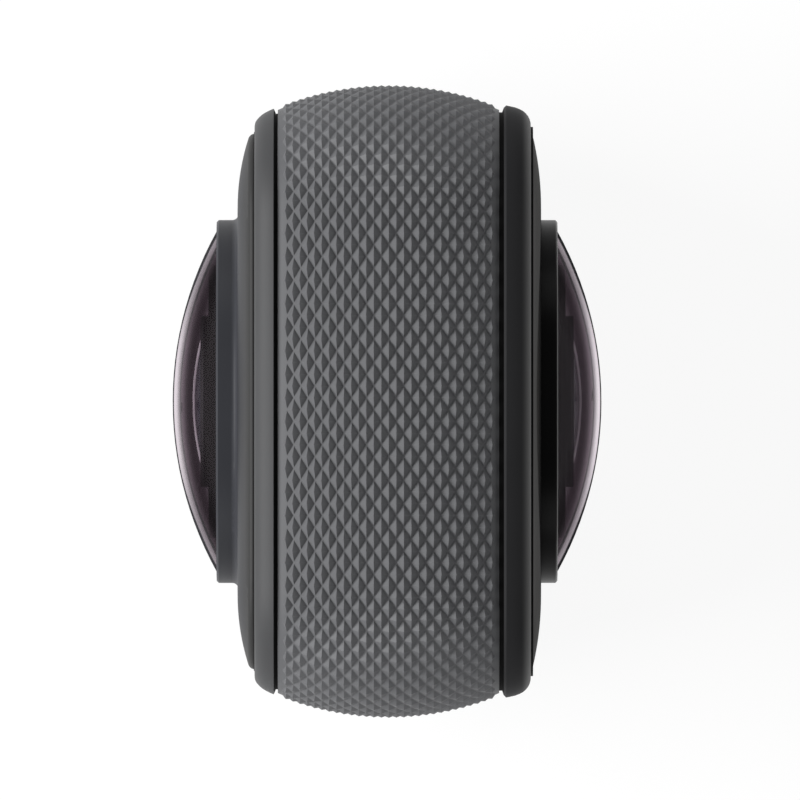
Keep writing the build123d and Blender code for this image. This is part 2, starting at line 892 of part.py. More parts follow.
# Front panel: curved edge, ribbed back, and holes for the lens, microphone and light
with BuildPart() as front_panel:
    extrude(outline(front_panel_inset, front_panel_back_y), amount=front_panel_thickness)
    add(
        edge_cutter(
            -1, front_panel_back_y, front_panel_edge_thickness, front_panel_thickness, front_panel_inset
        ),
        mode=Mode.SUBTRACT,
    )
    pockets_low_z = foot_height + front_panel_pocket_rise
    pockets_high_z = lens_z - front_panel_pocket_drop
    pocket_step_x = half_width - front_panel_inset - front_panel_pocket_margin + front_panel_rib / 2
    pocket_step_z = (pockets_high_z - pockets_low_z + front_panel_rib) / front_panel_pocket_rows
    with BuildSketch(upright(front_panel_back_y)):
        with Locations((0, (pockets_low_z + pockets_high_z) / 2)):
            with GridLocations(pocket_step_x, pocket_step_z, 2, front_panel_pocket_rows):
                RectangleRounded(
                    pocket_step_x - front_panel_rib,
                    pocket_step_z - front_panel_rib,
                    front_panel_rib,
                )
    extrude(amount=front_panel_pocket_depth, mode=Mode.SUBTRACT)
    with BuildSketch(upright(front_panel_back_y)):
        with Locations((0, lens_z)):
            Circle(panel_hole_radius)
        with Locations((0, lens_z - front_mic_drop)):
            Circle(mic_port_radius)
        with Locations((0, lens_z - front_light_drop)):
            Circle(light_radius + light_gap)
    extrude(amount=front_panel_thickness + overrun, mode=Mode.SUBTRACT)
front_panel.part.label = "front_panel"
export_step(front_panel.part, "parts/front_panel.step")

# Rear panel: one cover glass over the display, pierced for the lens and the two buttons
with BuildPart() as rear_panel:
    extrude(outline(rear_panel_inset, rear_panel_back_y), amount=-rear_panel_thickness)
    add(
        edge_cutter(
            1, rear_panel_back_y, rear_panel_edge_thickness, rear_panel_thickness, rear_panel_inset
        ),
        mode=Mode.SUBTRACT,
    )
    extrude(
        rounded_face(
            upright(rear_panel_back_y),
            (0, display_middle_z),
            display_width + 2 * display_gap,
            display_height + 2 * display_gap,
            display_corner,
        ),
        amount=-display_pocket_depth,
        mode=Mode.SUBTRACT,
    )
    with BuildSketch(upright(rear_panel_back_y)):
        with Locations((0, lens_z)):
            Circle(panel_hole_radius)
        with Locations((-rear_button_x, rear_button_z)):
            Circle(shutter_button_radius + rear_button_gap)
        with Locations((rear_button_x, rear_button_z)):
            Circle(lens_button_radius + rear_button_gap)
        with Locations((0, rear_button_z)):
            Circle(mic_port_radius)
        with Locations((0, rear_light_z)):
            Circle(light_radius + light_gap)
    extrude(amount=-(rear_panel_thickness + overrun), mode=Mode.SUBTRACT)
rear_panel.part.label = "rear_panel"
export_step(rear_panel.part, "parts/rear_panel.step")

# Foot plate, screwed up against the chassis, with a seat for the bush's flange
with BuildPart() as base_plate:
    extrude(
        rounded_face(Plane.XY, (0, 0), base_plate_width, base_plate_depth, base_plate_corner),
        amount=foot_top_z,
    )
    chamfer(base_plate.faces().sort_by(Axis.Z)[0].edges(), base_plate_edge)
    with BuildSketch(Plane.XY):
        Circle(bush_radius + bush_gap)
        with Locations((-base_screw_x, 0), (base_screw_x, 0)):
            Circle(screw_shank_radius + screw_hole_gap)
    extrude(amount=foot_top_z, mode=Mode.SUBTRACT)
    with BuildSketch(Plane.XY.offset(foot_top_z)):
        Circle(bush_flange_radius + bush_gap)
    extrude(amount=-(bush_flange_thickness + bush_gap), mode=Mode.SUBTRACT)
    with Locations(*((side * base_screw_x, 0, base_screw_head_depth / 2) for side in (-1, 1))):
        Cone(
            base_screw_head_radius + screw_hole_gap,
            screw_shank_radius + screw_hole_gap,
            base_screw_head_depth,
            mode=Mode.SUBTRACT,
        )
base_plate.part.label = "base_plate"
export_step(base_plate.part, "parts/base_plate.step")

# Countersunk screws of the foot plate
with BuildPart() as base_screws:
    with BuildSketch(Plane.XZ):
        with BuildLine():
            Polyline(
                (base_screw_x, 0),
                (base_screw_x + base_screw_head_radius, 0),
                (base_screw_x + screw_shank_radius, base_screw_head_depth),
                (base_screw_x + screw_shank_radius, base_screw_length),
                (base_screw_x, base_screw_length),
                close=True,
            )
        make_face()
    revolve(axis=Axis((base_screw_x, 0, 0), (0, 0, 1)))
    mirror(about=Plane.YZ)
base_screws.part.label = "base_screws"
export_step(base_screws.part, "parts/base_screws.step")

# Tripod bush, flanged, with a blind threaded bore that opens downwards
with BuildPart() as tripod_bush:
    with BuildSketch(Plane.XZ):
        with BuildLine():
            Polyline(
                (bush_bore_radius + bush_mouth_chamfer, 0),
                (bush_radius, 0),
                (bush_radius, foot_top_z - bush_flange_thickness),
                (bush_flange_radius, foot_top_z - bush_flange_thickness),
                (bush_flange_radius, foot_top_z),
                (bush_radius, foot_top_z),
                (bush_radius, bush_length),
                (0, bush_length),
                (0, bush_bore_depth),
                (bush_bore_radius, bush_bore_depth),
                (bush_bore_radius, bush_mouth_chamfer),
                close=True,
            )
        make_face()
    revolve(axis=Axis.Z)
tripod_bush.part.label = "tripod_bush"
export_step(tripod_bush.part, "parts/tripod_bush.step")

# Front lens ring: a flared foot on the panel, a neck through it, and a seat for the glass
with BuildPart() as front_lens_ring:
    with BuildSketch(lens_plane(-1)):
        with BuildLine():
            foot = (ring_radius + ring_flare, panel_faces["front"])
            shoulder = (ring_radius, panel_faces["front"] + ring_flare)
            TangentArc(foot, shoulder, tangent=(-1, 0))
            Polyline(
                shoulder,
                (ring_radius, ring_faces["front"] - ring_chamfer),
                (ring_radius - ring_chamfer, ring_faces["front"]),
                (glass_seat_radius, ring_faces["front"]),
                (glass_seat_radius, ring_faces["front"] - glass_seat_drop),
                (ring_bore_radius, ring_faces["front"] - glass_seat_drop),
                (ring_bore_radius, barrel_flange_depth),
                (ring_neck_radius, barrel_flange_depth),
                (ring_neck_radius, panel_faces["front"]),
                foot,
            )
        make_face()
    revolve(axis=lens_axis)
front_lens_ring.part.label = "front_lens_ring"
export_step(front_lens_ring.part, "parts/front_lens_ring.step")

# Rear lens ring: straight-sided, otherwise alike
with BuildPart() as rear_lens_ring:
    add(
        turned(
            1,
            (
                (ring_radius, panel_faces["rear"]),
                (ring_radius, ring_faces["rear"] - ring_chamfer),
                (ring_radius - ring_chamfer, ring_faces["rear"]),
                (glass_seat_radius, ring_faces["rear"]),
                (glass_seat_radius, ring_faces["rear"] - glass_seat_drop),
                (ring_bore_radius, ring_faces["rear"] - glass_seat_drop),
                (ring_bore_radius, barrel_flange_depth),
                (ring_neck_radius, barrel_flange_depth),
                (ring_neck_radius, panel_faces["rear"]),
            ),
        )
    )
rear_lens_ring.part.label = "rear_lens_ring"
export_step(rear_lens_ring.part, "parts/rear_lens_ring.step")

# What both lens modules share, from the glass dome in to the sensor board
for name, side in lens_sides:
    ring_face = ring_faces[name]
    dome_apex = ring_face + dome_rise
    baffle_seat = ring_face - baffle_flange_drop
    element_seat = ring_face + element_seat_rise
    bore_radius = element_radius + element_gap
    with BuildPart() as lens_dome:
        with BuildSketch(lens_plane(side)):
            with BuildLine():
                foot_radius = dome_rim_radius - dome_foot_width
                inner_apex = dome_apex - dome_wall
                inner_edge = inner_apex - cap_drop(dome_radius - dome_wall, foot_radius)
                outer = cap_arc((0, dome_apex), (dome_rim_radius, ring_face))
                inner = cap_arc((0, inner_apex), (foot_radius, inner_edge))
                Polyline(
                    outer @ 1,
                    (dome_rim_radius, ring_face - glass_seat_drop),
                    (foot_radius, ring_face - glass_seat_drop),
                    inner @ 1,
                )
                Line(inner @ 0, outer @ 0)
            make_face()
        revolve(axis=lens_axis)
    lens_dome.part.label = f"{name}_lens_dome"
    export_step(lens_dome.part, f"parts/{name}_lens_dome.step")

    with BuildPart() as inner_element:
        with BuildSketch(lens_plane(side)):
            with BuildLine():
                rim_depth = element_seat + element_edge_thickness
                hollow_radius = element_radius - 2 * element_seat_width
                crown = cap_arc((0, rim_depth + element_cap_height), (element_radius, rim_depth))
                hollow = cap_arc(
                    (0, element_seat + element_hollow_height), (hollow_radius, element_seat)
                )
                Polyline(crown @ 1, (element_radius, element_seat), hollow @ 1)
                Line(hollow @ 0, crown @ 0)
            make_face()
        revolve(axis=lens_axis)
    inner_element.part.label = f"{name}_inner_element"
    export_step(inner_element.part, f"parts/{name}_inner_element.step")

    with BuildPart() as lens_baffle:
        glass_drop = cap_drop(dome_radius - dome_wall, baffle_step_radius)
        step_depth = dome_apex - dome_wall - glass_drop - baffle_dome_gap
        add(
            turned(
                side,
                (
                    (tube_radius, baffle_seat),
                    (tube_radius, baffle_seat + baffle_flange_thickness),
                    (baffle_step_radius, baffle_seat + baffle_flange_thickness),
                    (baffle_step_radius, step_depth),
                    (baffle_nose_radius, step_depth),
                    (baffle_nose_radius, ring_face + baffle_nose_rise),
                    (bore_radius, ring_face + baffle_nose_rise),
                    (bore_radius, element_seat),
                    (bore_radius - element_seat_width, element_seat),
                    (bore_radius - element_seat_width, element_seat - baffle_seat_thickness),
                    (tube_bore_radius, baffle_seat),
                ),
            )
        )
    lens_baffle.part.label = f"{name}_lens_baffle"
    export_step(lens_baffle.part, f"parts/{name}_lens_baffle.step")

    with BuildPart() as lens_barrel:
        waist_radius = tube_radius - barrel_waist_step
        tail_radius = waist_radius - barrel_tail_step
        add(
            turned(
                side,
                (
                    (tube_radius, baffle_seat),
                    (tube_radius, barrel_flange_depth),
                    (barrel_flange_radius, barrel_flange_depth),
                    (barrel_flange_radius, barrel_flange_depth - barrel_flange_thickness),
                    (waist_radius, barrel_flange_depth - barrel_flange_thickness),
                    (waist_radius, sensor_face_depth + barrel_tail_length),
                    (tail_radius, sensor_face_depth + barrel_tail_length),
                    (tail_radius, sensor_face_depth),
                    (sensor_cavity_radius, sensor_face_depth),
                    (sensor_cavity_radius, sensor_face_depth + sensor_cavity_length),
                    (barrel_throat_radius, sensor_face_depth + barrel_throat_length),
                    (tube_bore_radius, baffle_seat),
                ),
            )
        )
        extrude(
            rounded_face(
                upright(side * sensor_face_depth),
                (0, lens_z),
                barrel_foot_size,
                barrel_foot_size,
                barrel_foot_corner,
            ),
            amount=-side * barrel_foot_thickness,
        )
        with BuildSketch(upright(side * sensor_face_depth)):
            with Locations((0, lens_z)):
                Circle(sensor_cavity_radius)
                with GridLocations(lens_screw_spacing, lens_screw_spacing, 2, 2):
                    Circle(screw_shank_radius + screw_hole_gap)
        extrude(amount=-side * barrel_foot_thickness, mode=Mode.SUBTRACT)
    lens_barrel.part.label = f"{name}_lens_barrel"
    export_step(lens_barrel.part, f"parts/{name}_lens_barrel.step")

    with BuildPart() as lens_gasket:
        with BuildSketch(upright(side * barrel_flange_depth)):
            with Locations((0, lens_z)):
                Circle(barrel_flange_radius - gasket_margin)
                Circle(panel_hole_radius + gasket_margin, mode=Mode.SUBTRACT)
        extrude(amount=-side * (panel_backs[name] - barrel_flange_depth))
    lens_gasket.part.label = f"{name}_lens_gasket"
    export_step(lens_gasket.part, f"parts/{name}_lens_gasket.step")

    with BuildPart() as sensor_board:
        block(
            (-sensor_board_reach, sensor_board_reach),
            sorted((side * cradle_face_depth, side * sensor_face_depth)),
            (sensor_board_low_z, lens_z + sensor_board_reach),
        )
        block(
            (-sensor_width / 2, sensor_width / 2),
            sorted((side * sensor_face_depth, side * (sensor_face_depth + sensor_thickness))),
            (lens_z - sensor_height / 2, lens_z + sensor_height / 2),
        )
        with BuildSketch(upright(side * cradle_face_depth)):
            with Locations((0, lens_z)):
                with GridLocations(lens_screw_spacing, lens_screw_spacing, 2, 2):
                    Circle(screw_shank_radius + screw_hole_gap)
        extrude(amount=-side * sensor_board_thickness, mode=Mode.SUBTRACT)
    sensor_board.part.label = f"{name}_sensor_board"
    export_step(sensor_board.part, f"parts/{name}_sensor_board.step")

# Screws that hold both lens modules to the cradle, through the sensor boards
with BuildPart() as lens_screws:
    for name, side in lens_sides:
        with BuildSketch(upright(side * lens_screw_seat)):
            with Locations((0, lens_z)):
                with GridLocations(lens_screw_spacing, lens_screw_spacing, 2, 2):
                    Circle(screw_head_radius)
        extrude(amount=-side * screw_head_thickness)
        with BuildSketch(upright(side * lens_screw_seat)):
            with Locations((0, lens_z)):
                with GridLocations(lens_screw_spacing, lens_screw_spacing, 2, 2):
                    Circle(screw_shank_radius)
        extrude(amount=side * (lens_screw_seat - lens_screw_tip_gap))
lens_screws.part.label = "lens_screws"
export_step(lens_screws.part, "parts/lens_screws.step")

# Lens cradle: the plate between the lens modules, with a tongue that cools the main board
with BuildPart() as lens_cradle:
    extrude(
        rounded_face(
            upright(cradle_face_depth),
            (0, lens_z),
            2 * (cavity_x - cradle_side_gap),
            2 * cradle_reach,
            cradle_corner,
        ),
        amount=cradle_thickness,
    )
    block(
        (shield_left_x, shield_right_x),
        (-cradle_face_depth, cradle_face_depth),
        (board_low_z + tongue_margin, lens_z),
    )
    with BuildSketch(upright(cradle_face_depth)):
        with Locations(*cradle_screws_at):
            Circle(screw_shank_radius + screw_hole_gap)
        with Locations((0, lens_z)):
            with GridLocations(lens_screw_spacing, lens_screw_spacing, 2, 2):
                Circle(screw_shank_radius + screw_hole_gap)
    extrude(amount=cradle_thickness, mode=Mode.SUBTRACT)
lens_cradle.part.label = "lens_cradle"
export_step(lens_cradle.part, "parts/lens_cradle.step")

# Screws of the lens cradle and the main board, all driven from the front
with BuildPart() as frame_screws:
    for seat_y, places in ((-cradle_face_depth, cradle_screws_at), (board_front_y, board_screws_at)):
        with BuildSketch(upright(seat_y)):
            with Locations(*places):
                Circle(screw_head_radius)
        extrude(amount=screw_head_thickness)
        with BuildSketch(upright(seat_y)):
            with Locations(*places):
                Circle(screw_shank_radius)
        extrude(amount=-frame_screw_length)
frame_screws.part.label = "frame_screws"
export_step(frame_screws.part, "parts/frame_screws.step")

# Main board and the shield can on its front face
with BuildPart() as main_board:
    block(
        (board_left_x, cavity_x - board_right_gap),
        (board_front_y, board_rear_y),
        (board_low_z, board_high_z),
    )
    with BuildSketch(upright(board_front_y)):
        with Locations(*board_screws_at):
            Circle(screw_shank_radius + screw_hole_gap)
    extrude(amount=-board_thickness, mode=Mode.SUBTRACT)
main_board.part.label = "main_board"
export_step(main_board.part, "parts/main_board.step")

with BuildPart() as shield_can:
    block(
        (shield_left_x, shield_right_x),
        (cradle_face_depth, board_front_y),
        (board_low_z + shield_margin_low, board_high_z - shield_margin_high),
    )
    fillet(shield_can.edges().filter_by(Axis.Y), shield_corner)
shield_can.part.label = "shield_can"
export_step(shield_can.part, "parts/shield_can.step")

# Charging port: an oval shell with a tongue, open to the right
with BuildPart() as usb_port:
    extrude(side_slot(port_mouth_x, port_y, port_z, port_height, port_width), amount=-port_length)
    extrude(
        side_slot(port_mouth_x, port_y, port_z, port_height - 2 * port_wall, port_width - 2 * port_wall),
        amount=-(port_length - port_back_wall),
        mode=Mode.SUBTRACT,
    )
    block(
        (port_mouth_x - port_length, port_mouth_x - port_tongue_recess),
        (port_y - port_tongue_thickness / 2, port_y + port_tongue_thickness / 2),
        (port_z - port_tongue_width / 2, port_z + port_tongue_width / 2),
    )
usb_port.part.label = "usb_port"
export_step(usb_port.part, "parts/usb_port.step")

# Charging door: a piece of the crowned skin whose top is a knuckle round the hinge pin
with BuildPart() as usb_door:
    add(crown_skin(0, usb_hinge_depth * 2))
    with BuildSketch(Plane.XZ.offset(-band_middle_y)):
        with BuildLine():
            knuckle_top = JernArc((half_width, usb_hinge_z), (0, 1), usb_hinge_depth, 180)
            Polyline(
                knuckle_top @ 1,
                (door_back_x, usb_hinge_z),
                (door_back_x, usb_door_low_z),
                (half_width, usb_door_low_z),
                knuckle_top @ 0,
            )
        make_face()
    extrude(amount=usb_door_width / 2, both=True, mode=Mode.INTERSECT)
    with BuildSketch(Plane.XZ.offset(-band_middle_y)):
        with Locations((usb_hinge_x, usb_hinge_z)):
            Circle(usb_pin_radius + usb_pin_gap)
    extrude(amount=usb_door_width, both=True, mode=Mode.SUBTRACT)
    fillet(usb_door.edges().filter_by(Axis.X).group_by(Axis.Z)[0], usb_door_corner)
usb_door.part.label = "usb_door"
export_step(usb_door.part, "parts/usb_door.step")

with BuildPart() as usb_door_pin:
    with BuildSketch(Plane.XZ.offset(-band_middle_y)):
        with Locations((usb_hinge_x, usb_hinge_z)):
            Circle(usb_pin_radius)
    extrude(amount=usb_pin_length / 2, both=True)
usb_door_pin.part.label = "usb_door_pin"
export_step(usb_door_pin.part, "parts/usb_door_pin.step")

with BuildPart() as usb_door_seal:
    extrude(
        rounded_face(
            Plane.YZ.offset(door_back_x),
            (port_y, port_z),
            usb_seal_width,
            usb_seal_height,
            usb_seal_corner,
        ),
        amount=-usb_seal_thickness,
    )
    extrude(
        rounded_face(
            Plane.YZ.offset(door_back_x),
            (port_y, port_z),
            usb_seal_width - 2 * usb_seal_ring,
            usb_seal_height - 2 * usb_seal_ring,
            usb_seal_corner - usb_seal_ring,
        ),
        amount=-usb_seal_thickness,
        mode=Mode.SUBTRACT,
    )
usb_door_seal.part.label = "usb_door_seal"
export_step(usb_door_seal.part, "parts/usb_door_seal.step")

# Battery pack, a rounded block that leaves its bay to the right
with BuildPart() as battery_pack:
    block(
        (battery_inner_x, battery_outer_x),
        (bay_front_y + bay_gap, bay_rear_y - bay_gap),
        (battery_low_z, battery_high_z),
    )
    fillet(battery_pack.edges().filter_by(Axis.X), battery_edge)
    fillet(battery_pack.faces().sort_by(Axis.X)[0].edges(), battery_edge)
battery_pack.part.label = "battery_pack"
export_step(battery_pack.part, "parts/battery_pack.step")

# Battery door: crowned skin, a plug that fills the bay's mouth, and room for two latches
latch_pocket_length = latch_knob_length + latch_travel + 2 * latch_gap
latch_room_length = latch_stem_size + latch_travel + 2 * latch_gap
with BuildPart() as battery_door:
    add(crown_skin(0, half_width - door_back_x))
    extrude(
        rounded_face(
            Plane.YZ.offset(cavity_x),
            (band_middle_y, battery_door_middle_z),
            battery_door_width,
            battery_door_height,
            door_corner,
        ),
        amount=cavity_inset + overrun,
        mode=Mode.INTERSECT,
    )
    extrude(
        rounded_face(
            Plane.YZ.offset(battery_outer_x),
            (band_middle_y, battery_middle_z),
            battery_thickness,
            battery_height,
            door_plug_radius,
        ),
        amount=door_back_x - battery_outer_x,
    )
    with BuildSketch(Plane.YZ.offset(battery_seal_x)):
        with Locations((band_middle_y, battery_middle_z)):
            Rectangle(battery_thickness + overrun, battery_height + overrun)
            RectangleRounded(
                battery_thickness - 2 * battery_seal_groove,
                battery_height - 2 * battery_seal_groove,
                door_plug_radius,
                mode=Mode.SUBTRACT,
            )
    extrude(amount=battery_seal_width, mode=Mode.SUBTRACT)
    for name, end_z, inwards in latch_ends:
        pocket_start = end_z + inwards * latch_end_margin
        stem_start = pocket_start + inwards * (latch_knob_length / 2 - latch_stem_size / 2)
        block(
            (latch_floor_x, half_width + overrun),
            (
                band_middle_y - latch_knob_width / 2 - latch_side_gap,
                band_middle_y + latch_knob_width / 2 + latch_side_gap,
            ),
            sorted((pocket_start, pocket_start + inwards * latch_pocket_length)),
            mode=Mode.SUBTRACT,
        )
        block(
            (door_back_x, half_width),
            (
                band_middle_y - latch_stem_size / 2 - latch_side_gap,
                band_middle_y + latch_stem_size / 2 + latch_side_gap,
            ),
            sorted((stem_start, stem_start + inwards * latch_room_length)),
            mode=Mode.SUBTRACT,
        )
        block(
            (door_back_x, door_back_x + latch_blade_thickness + latch_gap),
            (
                band_middle_y - latch_blade_width / 2 - latch_side_gap,
                band_middle_y + latch_blade_width / 2 + latch_side_gap,
            ),
            sorted((end_z - inwards * overrun, stem_start + inwards * latch_room_length)),
            mode=Mode.SUBTRACT,
        )
battery_door.part.label = "battery_door"
export_step(battery_door.part, "parts/battery_door.step")

# Seal in the plug's groove
with BuildPart() as battery_seal:
    extrude(
        rounded_face(
            Plane.YZ.offset(battery_seal_x),
            (band_middle_y, battery_middle_z),
            battery_thickness + 2 * (bay_gap - battery_seal_gap),
            battery_height + 2 * (bay_gap - battery_seal_gap),
            door_plug_radius,
        ),
        amount=battery_seal_width,
    )
    extrude(
        rounded_face(
            Plane.YZ.offset(battery_seal_x),
            (band_middle_y, battery_middle_z),
            battery_thickness - 2 * battery_seal_groove,
            battery_height - 2 * battery_seal_groove,
            door_plug_radius,
        ),
        amount=battery_seal_width,
        mode=Mode.SUBTRACT,
    )
battery_seal.part.label = "battery_seal"
export_step(battery_seal.part, "parts/battery_seal.step")

# Latches: a ribbed knob in the door's pocket, a stem through it and a blade behind
for name, end_z, inwards in latch_ends:
    knob_start = end_z + inwards * (latch_end_margin + latch_gap)
    knob_middle = knob_start + inwards * latch_knob_length / 2
    with BuildPart() as battery_latch:
        add(crown_skin(latch_recess, half_width - door_back_x))
        block(
            (latch_floor_x + latch_gap, half_width),
            (band_middle_y - latch_knob_width / 2, band_middle_y + latch_knob_width / 2),
            sorted((knob_start, knob_start + inwards * latch_knob_length)),
            mode=Mode.INTERSECT,
        )
        with BuildSketch(Plane.YZ.offset(half_width - latch_recess - latch_groove_depth)):
            with Locations((band_middle_y, knob_middle)):
                with GridLocations(latch_groove_spacing, latch_groove_spacing, 1, latch_groove_count):
                    Rectangle(latch_knob_width + overrun, latch_groove_width)
        extrude(amount=overrun, mode=Mode.SUBTRACT)
        block(
            (door_back_x, latch_floor_x + latch_gap),
            (band_middle_y - latch_stem_size / 2, band_middle_y + latch_stem_size / 2),
            (knob_middle - latch_stem_size / 2, knob_middle + latch_stem_size / 2),
        )
        block(
            (door_back_x, door_back_x + latch_blade_thickness),
            (band_middle_y - latch_blade_width / 2, band_middle_y + latch_blade_width / 2),
            sorted((end_z + inwards * latch_blade_margin, knob_middle + inwards * latch_stem_size / 2)),
        )
    battery_latch.part.label = f"{name}_battery_latch"
    export_step(battery_latch.part, f"parts/{name}_battery_latch.step")

# Spring contacts in the bay's end wall
with BuildPart() as battery_contacts:
    block(
        (bay_end_x - contact_block_depth, bay_end_x),
        (band_middle_y - contact_block_width / 2, band_middle_y + contact_block_width / 2),
        (contact_z - contact_block_height / 2, contact_z + contact_block_height / 2),
    )
    with BuildSketch(Plane.YZ.offset(bay_end_x)):
        with Locations((band_middle_y, contact_z)):
            with GridLocations(contact_pin_spacing, contact_pin_spacing, contact_pin_count, 1):
                Circle(contact_pin_radius)
    extrude(amount=contact_pin_rise)
battery_contacts.part.label = "battery_contacts"
export_step(battery_contacts.part, "parts/battery_contacts.step")

# Memory card slot on the bay's roof, open to the right behind the battery door
with BuildPart() as card_slot:
    block(
        (cavity_x - card_slot_length, cavity_x),
        (
            band_middle_y - card_mouth_width / 2 - card_slot_side,
            band_middle_y + card_mouth_width / 2 + card_slot_side,
        ),
        (card_low_z, card_low_z + card_slot_height),
    )
    block(
        (cavity_x - card_slot_length + card_slot_back, cavity_x),
        (band_middle_y - card_mouth_width / 2, band_middle_y + card_mouth_width / 2),
        (card_middle_z - card_mouth_height / 2, card_middle_z + card_mouth_height / 2),
        mode=Mode.SUBTRACT,
    )
card_slot.part.label = "card_slot"
export_step(card_slot.part, "parts/card_slot.step")

# Side buttons: a crowned cap, a flange under the band and a stem to the switch
for name, z, length in side_buttons:
    with BuildPart() as side_button:
        add(crown_skin(side_button_recess, band_thickness))
        extrude(
            side_slot(side_flange_x, band_middle_y, z, side_button_width, length),
            amount=-band_thickness,
            mode=Mode.INTERSECT,
        )
        extrude(
            side_slot(
                side_flange_x,
                band_middle_y,
                z,
                side_button_width + 2 * side_button_lip,
                length + 2 * side_button_lip,
            ),
            amount=side_button_flange,
        )
        with BuildSketch(Plane.YZ.offset(side_flange_x)):
            with Locations((band_middle_y, z)):
                Circle(side_button_stem_radius)
        extrude(amount=side_stem_x - side_flange_x)
    side_button.part.label = name
    export_step(side_button.part, f"parts/{name}.step")

# Side switch board on its two posts
with BuildPart() as side_switch_board:
    block(
        (side_board_x, side_board_x + side_board_thickness),
        (side_board_front_y, side_board_rear_y),
        (side_board_low_z, side_board_high_z),
    )
    for name, z, length in side_buttons:
        block(
            (side_board_x - side_switch_height, side_board_x),
            (band_middle_y - switch_size / 2, band_middle_y + switch_size / 2),
            (z - switch_size / 2, z + switch_size / 2),
        )
side_switch_board.part.label = "side_switch_board"
export_step(side_switch_board.part, "parts/side_switch_board.step")

# Rear buttons: a dished cap with a rounded rim and a flange behind the panel
rear_flange_y = rear_panel_back_y - rear_button_float
rear_cap_y = panel_faces["rear"] + rear_button_rise
for name, x, radius in (
    ("shutter_button", -rear_button_x, shutter_button_radius),
    ("lens_button", rear_button_x, lens_button_radius),
):
    with BuildPart() as rear_button:
        with BuildSketch(Plane.XY.offset(rear_button_z)):
            with BuildLine():
                rim = (x + radius - rear_button_edge, rear_cap_y)
                dish = cap_arc((x, rear_cap_y - rear_button_dish), rim)
                edge = TangentArc(
                    (x + radius, rear_cap_y - rear_button_edge), rim, tangent=(0, 1)
                )
                Polyline(
                    edge @ 0,
                    (x + radius, rear_flange_y),
                    (x + radius + rear_button_lip, rear_flange_y),
                    (x + radius + rear_button_lip, rear_flange_y - rear_button_flange),
                    (x, rear_flange_y - rear_button_flange),
                    dish @ 0,
                )
            make_face()
        revolve(axis=Axis((x, 0, rear_button_z), (0, 1, 0)))
    rear_button.part.label = name
    export_step(rear_button.part, f"parts/{name}.step")

with BuildPart() as button_board:
    block(
        (-button_board_width / 2, button_board_width / 2),
        (button_board_y, button_board_y + button_board_thickness),
        (rear_button_z - button_board_height / 2, rear_button_z + button_board_height / 2),
    )
    for x in (-rear_button_x, rear_button_x):
        block(
            (x - switch_size / 2, x + switch_size / 2),
            (
                button_board_y + button_board_thickness,
                button_board_y + button_board_thickness + rear_switch_height,
            ),
            (rear_button_z - switch_size / 2, rear_button_z + switch_size / 2),
        )
button_board.part.label = "button_board"
export_step(button_board.part, "parts/button_board.step")

# Display, bonded into the pocket behind the rear panel
with BuildPart() as display_module:
    extrude(
        rounded_face(
            upright(display_back_y),
            (0, display_middle_z),
            display_width,
            display_height,
            display_corner,
        ),
        amount=-display_thickness,
    )
display_module.part.label = "display_module"
export_step(display_module.part, "parts/display_module.step")

# Speaker on the left wall and the mesh between the chassis and the band
with BuildPart() as speaker:
    block(
        (-cavity_x, -cavity_x + speaker_thickness),
        (band_middle_y - speaker_width / 2, band_middle_y + speaker_width / 2),
        (speaker_low_z, speaker_low_z + speaker_height),
    )
    fillet(speaker.edges().filter_by(Axis.X), speaker_edge)
speaker.part.label = "speaker"
export_step(speaker.part, "parts/speaker.step")

with BuildPart() as speaker_mesh:
    extrude(
        rounded_face(
            Plane.YZ.offset(-chassis_face_x),
            (band_middle_y, speaker_middle_z),
            speaker_slot_length + 2 * speaker_mesh_margin - 2 * speaker_mesh_gap,
            speaker_slot_count * speaker_slot_spacing + 2 * speaker_mesh_margin - 2 * speaker_mesh_gap,
            speaker_edge,
        ),
        amount=-speaker_mesh_thickness,
    )
speaker_mesh.part.label = "speaker_mesh"
export_step(speaker_mesh.part, "parts/speaker_mesh.step")

# A microphone and an indicator light behind each panel
for name, side, mic_z, light_z in (
    ("front", -1, lens_z - front_mic_drop, lens_z - front_light_drop),
    ("rear", 1, rear_button_z, rear_light_z),
):
    back_y = side * panel_backs[name]
    with BuildPart() as microphone:
        block(
            (-mic_width / 2, mic_width / 2),
            sorted((back_y, back_y - side * mic_depth)),
            (mic_z - mic_height / 2, mic_z + mic_height / 2),
        )
        with BuildSketch(upright(back_y)):
            with Locations((0, mic_z)):
                Circle(mic_port_radius)
        extrude(amount=side * mic_depth / 2, mode=Mode.SUBTRACT)
    microphone.part.label = f"{name}_microphone"
    export_step(microphone.part, f"parts/{name}_microphone.step")

    with BuildPart() as indicator_light:
        with BuildSketch(upright(back_y)):
            with Locations((0, light_z)):
                Circle(light_radius)
        extrude(amount=-side * (panel_faces[name] - panel_backs[name]))
        with BuildSketch(upright(back_y)):
            with Locations((0, light_z)):
                Circle(light_flange_radius)
        extrude(amount=side * light_flange_thickness)
    indicator_light.part.label = f"{name}_indicator_light"
    export_step(indicator_light.part, f"parts/{name}_indicator_light.step")


def ribbon(x, width, points, bend):
    """Flat ribbon cable along (depth, height) points, as a ready part."""
    start_y, start_z = points[0]
    with BuildPart() as strip:
        with BuildLine(Plane.YZ.offset(x)) as route:
            FilletPolyline(*points, radius=bend)
        with BuildSketch(Plane.XY.offset(start_z)):
            with Locations((x, start_y)):
                Rectangle(width, ribbon_thickness)
        sweep(path=route.wire())
    return strip.part


